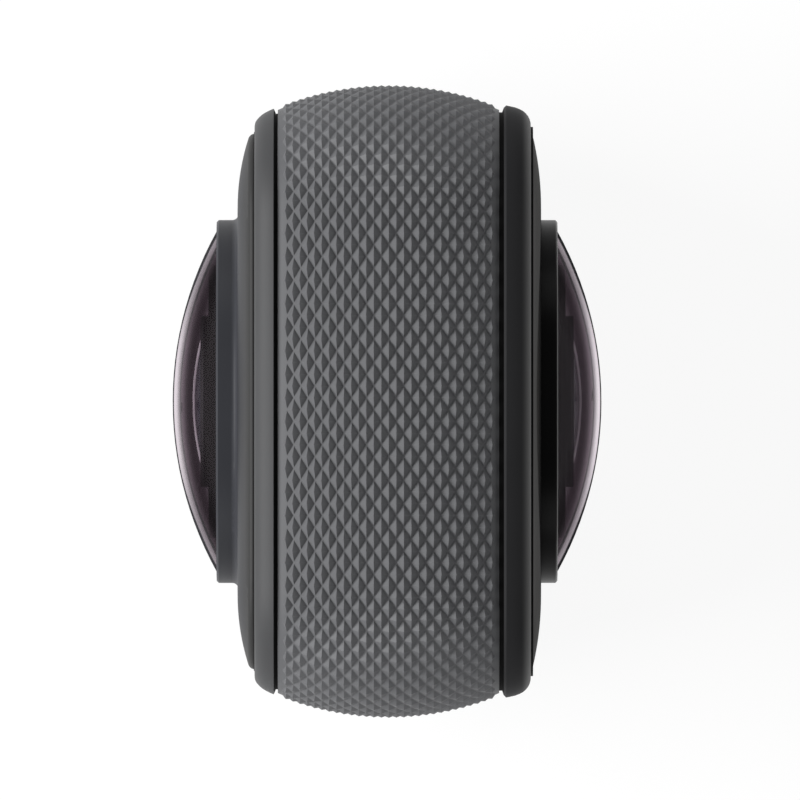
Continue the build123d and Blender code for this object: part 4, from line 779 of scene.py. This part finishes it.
def knurl_tile(settings, length):
    """One cell of the knurl: a whole pyramid in the middle and a quarter in each corner."""
    width = settings.pitch
    height = settings.height
    half = settings.fill / 2
    deep = -KNURL_DEPTH
    flat = [
        (0, 0), (half, 0), (0.5, 0), (1 - half, 0), (1, 0),
        (0, half), (0.5, 0.5 - half), (1, half),
        (0, 0.5), (0.5 - half, 0.5), (0.5, 0.5), (0.5 + half, 0.5), (1, 0.5),
        (0, 1 - half), (0.5, 0.5 + half), (1, 1 - half),
        (0, 1), (half, 1), (0.5, 1), (1 - half, 1), (1, 1),
    ]
    tips = {0, 4, 10, 16, 20}
    points = [
        (u * length, v * width, 0.0 if index in tips else -height)
        for index, (u, v) in enumerate(flat)
    ]
    points += [(0, 0, deep), (length, 0, deep), (length, width, deep), (0, width, deep)]
    faces = [
        (0, 1, 5), (4, 7, 3), (16, 13, 17), (20, 19, 15),
        (10, 9, 6), (10, 6, 11), (10, 11, 14), (10, 14, 9),
        (1, 2, 6, 9, 8, 5), (2, 3, 7, 12, 11, 6),
        (13, 8, 9, 14, 18, 17), (12, 15, 19, 18, 14, 11),
        (24, 23, 22, 21),
    ]
    return shaped_piece("knurl_tile", points, [], faces)


def edge_tile(name, settings, length, reach):
    """The plain strip beside the knurl, from its first row out past the band's edge and down."""
    height = settings.height
    half = settings.fill / 2
    step = math.copysign(STRIP_SLOPE, reach)
    shares = (0, half, 0.5, 1 - half, 1)
    points = [(share * length, 0.0, 0.0 if share in (0, 1) else -height) for share in shares]
    points += [(share * length, step, -height) for share in shares]
    points += [(share * length, reach, -STRIP_END_SHARE * height) for share in shares]
    points += [(x, y, -KNURL_DEPTH) for y in (reach, 0) for x in (0, length)]
    faces = [(0, 5, 1), (1, 5, 6), (1, 6, 7, 2), (2, 7, 8, 3), (3, 8, 9), (3, 9, 4)]
    faces += [(index, index + 5, index + 6, index + 1) for index in range(5, 9)]
    faces += [(10, 15, 16, 14, 13, 12, 11), (15, 17, 18, 16)]
    return shaped_piece(name, points, [], faces)


def outline_curve(tree, given, corner_points):
    """The body's outline, a rounded rectangle, in the plane of its width and height."""
    square = tree.node(
        "GeometryNodeCurvePrimitiveQuadrilateral",
        {},
        out="Curve",
        Width=given["Outline width"],
        Height=given["Outline height"],
    )
    return tree.node(
        "GeometryNodeFilletCurve",
        {"mode": "POLY"},
        square,
        out="Curve",
        Count=corner_points,
        Radius=given["Corner radius"],
    )


def knurl_tree(name):
    """Geometry tree: rows of tiles, welded, crowned and bent round the body's outline."""
    sizes = ("Cell length", "Pitch", "Start", "Shift", "Sink", "Height", "Side relief")
    tree, given = new_tree(
        name,
        objects=("Knurl tile", "Front strip", "Rear strip"),
        counts=("Around", "Across"),
        sizes=(*sizes, "Crown radius", "Crown middle", *OUTLINE),
    )

    def rows(tile, count, first_row):
        """Tiles in a grid that starts at a row, count rows deep."""
        around = given["Cell length"] * (given["Around"] - 1)
        deep = given["Pitch"] * (count - 1)
        spread = tree.node("GeometryNodeMeshGrid", {}, around, deep, given["Around"], count, out="Mesh")
        middle = given["Start"] + given["Pitch"] * (first_row + (count - 1) / 2.0)
        corner = tree.node("ShaderNodeCombineXYZ", {}, around / 2.0, middle, 0.0)
        moved = tree.node("GeometryNodeTransform", {}, spread, out="Geometry", Translation=corner)
        cell = tree.node("GeometryNodeObjectInfo", {}, given[tile], out="Geometry")
        return tree.node("GeometryNodeInstanceOnPoints", {}, moved, out="Instances", Instance=cell)

    grids = [
        rows("Knurl tile", given["Across"], 0.0),
        rows("Front strip", 1, 0.0),
        rows("Rear strip", 1, given["Across"]),
    ]
    joined = tree.node("GeometryNodeJoinGeometry", {}, grids)
    sheet = tree.node("GeometryNodeRealizeInstances", {}, joined, out="Geometry")
    place = tree.node("GeometryNodeInputPosition", {}, out="Position")
    height = place.part("Z")
    rounded = outline_curve(tree, given, 40)
    run = tree.node("GeometryNodeCurveLength", {}, rounded, out="Length")
    share = place.part("X") / (given["Cell length"] * given["Around"]) + given["Shift"]
    wrapped = tree.node("ShaderNodeMath", {"operation": "WRAP"}, share, 1.0, 0.0)
    path = tree.node(
        "GeometryNodeSampleCurve", {"mode": "LENGTH"}, rounded, out="Position", Length=wrapped * run
    )
    way = path.output("Tangent")
    angle = place.part("Y") / given["Crown radius"]
    # The pyramids get lower from the ends of the top to the long sides
    side = abs(path.part("X")).smooth(given["Outline width"] * 0.3, given["Outline width"] * 0.49)
    relief = 1.0 - side * (1.0 - given["Side relief"])
    below = (height + given["Height"]).at_most(0.0)
    radius = given["Crown radius"] - given["Sink"] + height.at_least(-given["Height"]) * relief + below
    inset = given["Crown radius"] - radius * angle.wave("COSINE")
    bent = tree.node(
        "ShaderNodeCombineXYZ",
        {},
        path.part("X") - way.part("Y") * inset,
        given["Crown middle"] + radius * angle.wave("SINE"),
        given["Outline middle"] + path.part("Y") + way.part("X") * inset,
    )
    shell = tree.node("GeometryNodeSetPosition", {}, sheet, out="Geometry", Position=bent)
    welded = tree.node("GeometryNodeMergeByDistance", {}, shell, out="Geometry", Distance=GROWN_WELD)
    return end_tree(tree, welded, given["Material"])


def knurl_solid(settings, material):
    """Closed ring whose outside is the knurl, to be met with the band and its doors."""
    cell = OUTLINE_LENGTH / settings.around
    start = CROWN_RADIUS * math.asin((settings.start - CROWN_MIDDLE_Y) / CROWN_RADIUS)
    end = start + settings.across * settings.pitch
    reach = CROWN_RADIUS * STRIP_ANGLE
    return grow(
        "knurl_solid",
        knurl_tree("Knurl"),
        {
            "Knurl tile": knurl_tile(settings, cell),
            "Front strip": edge_tile("front_strip", settings, cell, -reach - start),
            "Rear strip": edge_tile("rear_strip", settings, cell, reach - end),
            "Around": settings.around,
            "Across": settings.across,
            "Cell length": cell,
            "Pitch": settings.pitch,
            "Start": start,
            "Shift": settings.shift / OUTLINE_LENGTH,
            "Sink": settings.sink,
            "Height": settings.height,
            "Side relief": settings.side_relief,
            "Crown radius": CROWN_RADIUS,
            "Crown middle": CROWN_MIDDLE_Y,
            "Material": material,
            **OUTLINE,
        },
    )


# Frames and seams


def in_mm(*points):
    """Points given in millimetres."""
    return [(inset * MM, depth * MM) for inset, depth in points]


def strip(near, far, low, high):
    """A rectangular section between two insets and two depths."""
    return [(near, low), (near, high), (far, high), (far, low)]


def seam(wall, top, lap, sink, rise):
    """Section of a dark strip in a seam, painted shade of the gap there, that laps over a frame's wall,
    sinks into its top and rises out of it, in mm.
    """
    out = math.copysign(MM, top)
    low, high = sorted((top - sink * out, top + rise * out))
    return strip(wall - lap * MM, wall + SEAM_WIDTH, low, high)


# What the frames seat on and stand beside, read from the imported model
FRONT_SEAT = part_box("front_frame")[1][1]
REAR_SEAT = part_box("rear_frame")[0][1]
FRONT_PANEL_REACH, FRONT_PANEL_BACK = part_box("front_panel")[1][:2]
REAR_PANEL_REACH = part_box("rear_panel")[1][0]
REAR_PANEL_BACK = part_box("rear_panel")[0][1]
# How far in the frames' walls and ledges and the dark strips at the groove floors reach, and how far out
# the frames stand
PANEL_GAP = 0.07 * MM
FRONT_WALL = BAND_HIGH[0] - FRONT_PANEL_REACH - PANEL_GAP
REAR_WALL = BAND_HIGH[0] - REAR_PANEL_REACH - PANEL_GAP
LEDGE_INSET = 4.9 * MM
GROOVE_FLOOR = 2.6 * MM
FRONT_TOP = -9.61 * MM
REAR_TOP = 10.44 * MM
# How wide the dark strips in the seams beside the covers are, which are painted shade, and how far the
# strips at the groove floors go into the frames and the band
SEAM_WIDTH = 0.3 * MM
DARK_STRIP_LAP = 0.02 * MM

# Sections of the frames and of the dark strips in the seams and grooves, as points of (inset from the
# outline, depth). Their rounded outer edges are free curves, so they are given point by point
FRONT_FRAME = [
    (1.82 * MM, FRONT_SEAT),
    *in_mm((1.74, -8.22), (1.78, -8.34), (1.9, -8.6), (2.03, -8.85), (2.18, -9.08), (2.36, -9.28)),
    *in_mm((2.56, -9.46), (2.76, -9.57)),
    (2.98 * MM, FRONT_TOP),
    (FRONT_WALL, FRONT_TOP),
    (FRONT_WALL, FRONT_PANEL_BACK),
    (LEDGE_INSET, FRONT_PANEL_BACK),
    (LEDGE_INSET, FRONT_SEAT),
]
REAR_FRAME = [
    (1.68 * MM, REAR_SEAT),
    *in_mm((1.5, 8.65), (1.55, 8.9), (1.64, 9.3), (1.76, 9.62), (1.9, 9.88), (2.07, 10.08)),
    *in_mm((2.27, 10.24), (2.48, 10.35), (2.68, 10.41), (2.83, 10.435)),
    (REAR_WALL, REAR_TOP),
    (REAR_WALL, REAR_PANEL_BACK),
    (LEDGE_INSET, REAR_PANEL_BACK),
    (LEDGE_INSET, REAR_SEAT),
]
# What is pared off the front cover's edge to round it
FRONT_EDGE_CUT = in_mm(
    (3.2, -9.64), (3.565, -9.655), (3.575, -9.75), (3.63, -9.86), (3.72, -9.96), (3.85, -10.05),
    (4.02, -10.115), (4.12, -10.14), (4.3, -10.4), (3.2, -10.6),
)
# Near-black strips: the two in the seams beside the covers are painted shade of the gaps there, and the
# two at the floors of the grooves join the band and the frames
DARK_STRIPS = {
    "front_seam": seam(FRONT_WALL, FRONT_TOP, lap=0.06, sink=0.01, rise=0.05),
    "rear_seam": seam(REAR_WALL, REAR_TOP, lap=0.04, sink=0.06, rise=0.16),
    "front_groove_seal": strip(2.1 * MM, GROOVE_FLOOR, FRONT_SEAT - DARK_STRIP_LAP, BAND_LOW[1] + DARK_STRIP_LAP),
    "rear_groove_seal": strip(2.0 * MM, GROOVE_FLOOR, BAND_HIGH[1] - DARK_STRIP_LAP, REAR_SEAT + DARK_STRIP_LAP),
}


def swept(tree, path, profile, caps=False):
    """The loop of a profile object carried along a path that keeps it upright."""
    path = tree.node("GeometryNodeSetCurveNormal", {"mode": "Z_UP"}, path, out="Curve")
    shape = tree.node("GeometryNodeObjectInfo", {}, profile, out="Geometry")
    loop = tree.node("GeometryNodeMeshToCurve", {}, shape, out="Curve")
    return tree.node("GeometryNodeCurveToMesh", {}, path, loop, out="Mesh", Fill_Caps=caps)


def rim_tree(name):
    """Geometry tree: a closed profile carried round the body's outline."""
    tree, given = new_tree(name, objects=("Profile",), sizes=tuple(OUTLINE))
    tube = swept(tree, outline_curve(tree, given, 24), given["Profile"])
    lift = tree.node("ShaderNodeCombineXYZ", {}, 0.0, 0.0, given["Outline middle"])
    upright = (math.pi / 2, 0.0, 0.0)
    stood = tree.node(
        "GeometryNodeTransform", {}, tube, out="Geometry", Translation=lift, Rotation=upright
    )
    return end_tree(tree, stood, given["Material"])


def rim(name, profile, material):
    """A ring round the body with a profile of (inset from the outline, depth) points."""
    loop = section([(-inset, depth) for inset, depth in profile])
    piece = grow(name, rim_tree(name), {"Profile": loop, "Material": material, **OUTLINE})
    sharpen(piece.data, 32.0)
    return piece


# Foot


def thread_tree(name):
    """Geometry tree: a ridge of closed profile carried up a helix."""
    tree, given = new_tree(name, objects=("Profile",), sizes=("Radius", "Pitch", "Turns", "Start"))
    helix = tree.node(
        "GeometryNodeCurveSpiral",
        {},
        out="Curve",
        Resolution=48,
        Rotations=given["Turns"],
        Start_Radius=given["Radius"],
        End_Radius=given["Radius"],
        Height=given["Turns"] * given["Pitch"],
    )
    ridge = swept(tree, helix, given["Profile"], caps=True)
    lift = tree.node("ShaderNodeCombineXYZ", {}, 0.0, 0.0, given["Start"])
    stood = tree.node("GeometryNodeTransform", {}, ridge, out="Geometry", Translation=lift)
    return end_tree(tree, stood, given["Material"])


def recess_tree(name):
    """Geometry tree: a six-lobed prism under each screw's head."""
    tree, given = new_tree(name, sizes=("Radius", "Depth", "Reach"))
    waist_share = 0.66
    rounding_share = 0.2
    star = tree.node(
        "GeometryNodeCurveStar",
        {},
        out="Curve",
        Points=6,
        Inner_Radius=given["Radius"] * waist_share,
        Outer_Radius=given["Radius"],
    )
    rounding = given["Radius"] * rounding_share
    lobes = tree.node(
        "GeometryNodeFilletCurve", {"mode": "POLY"}, star, out="Curve", Count=4, Radius=rounding
    )
    face = tree.node("GeometryNodeFillCurve", {"mode": "NGONS"}, lobes, out="Mesh")
    height = given["Depth"] * 2.0
    prism = tree.node(
        "GeometryNodeExtrudeMesh", {}, face, out="Mesh", Offset_Scale=height, Individual=False
    )
    closed = tree.node("GeometryNodeJoinGeometry", {}, [prism, face])
    drop = tree.node("ShaderNodeCombineXYZ", {}, 0.0, 0.0, -given["Depth"])
    low = tree.node("GeometryNodeTransform", {}, closed, out="Geometry", Translation=drop)
    left = tree.node("ShaderNodeCombineXYZ", {}, -given["Reach"], 0.0, 0.0)
    right = tree.node("ShaderNodeCombineXYZ", {}, given["Reach"], 0.0, 0.0)
    ends = {"Count": 2, "Start_Location": left, "Offset": right}
    line = tree.node("GeometryNodeMeshLine", {"mode": "END_POINTS"}, out="Mesh", **ends)
    cutters = tree.node("GeometryNodeInstanceOnPoints", {}, line, out="Instances", Instance=low)
    return end_tree(tree, cutters, given["Material"])


def tripod_thread(foot, material):
    """The thread as a ridge whose root lies a little under the wall of the bore."""
    root_sink = 0.08 * MM
    root, crest = foot.root_width / 2, foot.crest_width / 2
    ridge = [(-root_sink, -root), (-root_sink, root), (foot.depth, crest), (foot.depth, -crest)]
    piece = grow(
        "tripod_thread",
        thread_tree("Thread"),
        {
            "Profile": section(ridge),
            "Radius": foot.bore,
            "Pitch": foot.pitch,
            "Turns": foot.turns,
            "Start": foot.start,
            "Material": material,
        },
    )
    sharpen(piece.data, 30.0)
    return piece


def recess_cutter(foot, material):
    """The two prisms that cut the recesses, at the middles of the two screws."""
    low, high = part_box("base_screws")
    return grow(
        "recess_cut",
        recess_tree("Recess"),
        {
            "Radius": foot.recess,
            "Depth": foot.recess_depth,
            "Reach": (high[0] - low[0]) / 2 - (high[1] - low[1]) / 2,
            "Material": material,
        },
    )


# Operators, one for each group of pieces, in the order in which they run

finishes = {}


class OBJECT_OT_dress_finishes(bpy.types.Operator):
    """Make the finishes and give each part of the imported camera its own"""

    bl_idname = "object.dress_finishes"
    bl_label = "Finishes"

    def execute(self, context):
        finishes.update(make_finishes(context.scene.camera_finish))
        for name, node in frame["nodes"].items():
            material = finishes.get(name, finishes[SLOT_OF[name]])
            if not node.material_slots:
                node.data.materials.append(material)
            for place in node.material_slots:
                place.material = material
        return {"FINISHED"}


class OBJECT_OT_dress_grip(bpy.types.Operator):
    """Mould the pyramids into the grip band and the two doors that continue it"""

    bl_idname = "object.dress_grip"
    bl_label = "Knurled grip"

    def execute(self, context):
        solid = knurl_solid(context.scene.camera_knurl, finishes["grip"])
        for node, name, body in (
            ("grip_band", "knurled_band", "camera"),
            ("battery_door", "knurled_battery_door", "battery"),
            ("usb_door", "knurled_charging_door", "usb_door"),
        ):
            piece = welded_copy(node, name)
            piece.data.materials.append(finishes["grip"])
            cut(piece, solid, "INTERSECT")
            if len(piece.data.polygons) < LEAST_FACES:
                raise RuntimeError(f"{name} was lost in the cut")
            sharpen(piece.data, 14.0)
            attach(piece, body)
            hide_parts(node)
        remove_piece(solid)
        return {"FINISHED"}


class OBJECT_OT_dress_rims(bpy.types.Operator):
    """Sweep the two metal frames, the dark strips in the seams between them and the covers, which are
    painted shade, and the strips at the floors of the grooves
    """

    bl_idname = "object.dress_rims"
    bl_label = "Frames and seams"

    def execute(self, context):
        for name, node, slot, profile in (
            ("front_bezel", "front_frame", "front_metal", FRONT_FRAME),
            ("rear_bezel", "rear_frame", "rear_metal", REAR_FRAME),
        ):
            bezel = rim(name, profile, finishes[slot])
            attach(bezel, "camera")
            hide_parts(node)
        cover = welded_copy("front_panel", "front_cover")
        cover.data.materials.append(finishes["front_cover"])
        cutter = rim("edge_cut", FRONT_EDGE_CUT, finishes["front_cover"])
        cut(cover, cutter, "DIFFERENCE")
        remove_piece(cutter)
        sharpen(cover.data, 32.0)
        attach(cover, "camera")
        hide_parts("front_panel")
        # Near-black strips; those in the seams beside the covers are painted shade
        for name, profile in DARK_STRIPS.items():
            dark_strip = rim(name, profile, finishes["seal_rubber"])
            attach(dark_strip, "camera")
        return {"FINISHED"}


class OBJECT_OT_dress_foot(bpy.types.Operator):
    """Cut the tripod thread and the drive recesses of the foot's screws"""

    bl_idname = "object.dress_foot"
    bl_label = "Foot"

    def execute(self, context):
        foot = context.scene.camera_foot
        thread = tripod_thread(foot, finishes["thread_metal"])
        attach(thread, "camera")
        screws = welded_copy("base_screws", "foot_screws")
        screws.data.materials.append(finishes["steel"])
        cutter = recess_cutter(foot, finishes["steel"])
        cut(screws, cutter, "DIFFERENCE")
        remove_piece(cutter)
        sharpen(screws.data, 30.0)
        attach(screws, "camera")
        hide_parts("base_screws")
        return {"FINISHED"}


class OBJECT_OT_dress_stage(bpy.types.Operator):
    """Set up the floor, the light and the picture's camera"""

    bl_idname = "object.dress_stage"
    bl_label = "Stage"

    def execute(self, context):
        scene = context.scene
        stage = scene.camera_stage
        scene.view_settings.view_transform = "Standard"

        # White surroundings for the picture and for gloss, and an even dimmer light for the rest
        world = bpy.data.worlds.new("surroundings")
        scene.world = world
        world.use_nodes = True
        world.node_tree.nodes.clear()
        tree = Tree(world.node_tree)
        level = stage.ambient + tree.direct(1.0) * (1.0 - stage.ambient)
        back = tree.node("ShaderNodeBackground", {}, grey(1.0), level)
        tree.node("ShaderNodeOutputWorld", {}, out=None, Surface=back)

        # Matt floor that keeps the shadow, and looks white to the camera and in gloss
        ends = (-FLOOR_REACH, FLOOR_REACH)
        corners = [(x, y, -FLOOR_DROP) for x in ends for y in ends]
        floor = shaped_piece("floor", corners, [], [(0, 2, 3, 1)])
        tree = Finish("floor")
        lit = tree.node("ShaderNodeEmission", {}, grey(1.0), 1.0)
        white = tree.blend(tree.direct(0.9), tree.simple("Diffuse", grey(0.9)), lit)
        floor.data.materials.append(tree.done(white))

        for name, turn, climb, away, wide, tall, setting in LAMPS:
            lamp = bpy.data.lights.new(name, "AREA")
            lamp.shape = "RECTANGLE"
            lamp.size = wide
            lamp.size_y = tall
            lamp.energy = math.pi**2 * away**2 * getattr(stage, setting)
            turn, climb = math.radians(turn), math.radians(climb)
            outward = math.cos(climb)
            way = Vector((math.cos(turn) * outward, math.sin(turn) * outward, math.sin(climb)))
            holder = bpy.data.objects.new(name, lamp)
            holder.location = LAMP_TARGET + way * away
            holder.rotation_euler = way.to_track_quat("Z", "Y").to_euler()
            scene.collection.objects.link(holder)

        # A long lens straight over the top, its picture turned so that the front is at the left
        camera = bpy.data.cameras.new("picture")
        camera.lens = stage.lens
        camera.sensor_width = 36.0
        camera.clip_start = 0.01
        camera.clip_end = 20.0
        across, deep, high = PICTURE_MIDDLE
        holder = bpy.data.objects.new("picture", camera)
        holder.location = (across, deep, high + stage.view_width * stage.lens / camera.sensor_width)
        holder.rotation_euler = (0.0, 0.0, math.pi / 2)
        scene.collection.objects.link(holder)
        scene.camera = holder
        return {"FINISHED"}


STEPS = (
    OBJECT_OT_dress_finishes,
    OBJECT_OT_dress_grip,
    OBJECT_OT_dress_rims,
    OBJECT_OT_dress_foot,
    OBJECT_OT_dress_stage,
)
SETTINGS = {
    "camera_knurl": KnurlSettings,
    "camera_finish": FinishSettings,
    "camera_foot": FootSettings,
    "camera_stage": StageSettings,
}


class VIEW3D_PT_dress_camera(bpy.types.Panel):
    """Steps and sizes of the dressed camera"""

    bl_idname = "VIEW3D_PT_dress_camera"
    bl_label = "Camera Dresser"
    bl_space_type = "VIEW_3D"
    bl_region_type = "UI"
    bl_category = "Camera Dresser"

    def draw(self, context):
        column = self.layout.column()
        for step in STEPS:
            column.operator(step.bl_idname)
        for group in SETTINGS:
            settings = getattr(context.scene, group)
            for key in settings.bl_rna.properties.keys():
                if key not in ("rna_type", "name"):
                    column.prop(settings, key)


CLASSES = (*SETTINGS.values(), *STEPS, VIEW3D_PT_dress_camera)


def register():
    """Adds the classes, and the settings to every scene."""
    for item in CLASSES:
        bpy.utils.register_class(item)
    for group, kind in SETTINGS.items():
        setattr(bpy.types.Scene, group, bpy.props.PointerProperty(type=kind))


def unregister():
    """Takes the settings and the classes out again."""
    for group in SETTINGS:
        delattr(bpy.types.Scene, group)
    for item in reversed(CLASSES):
        bpy.utils.unregister_class(item)


def main():
    """Dresses the camera step by step."""
    register()
    for step in STEPS:
        group, name = step.bl_idname.split(".")
        getattr(getattr(bpy.ops, group), name)()


if __name__ == "__main__":
    main()
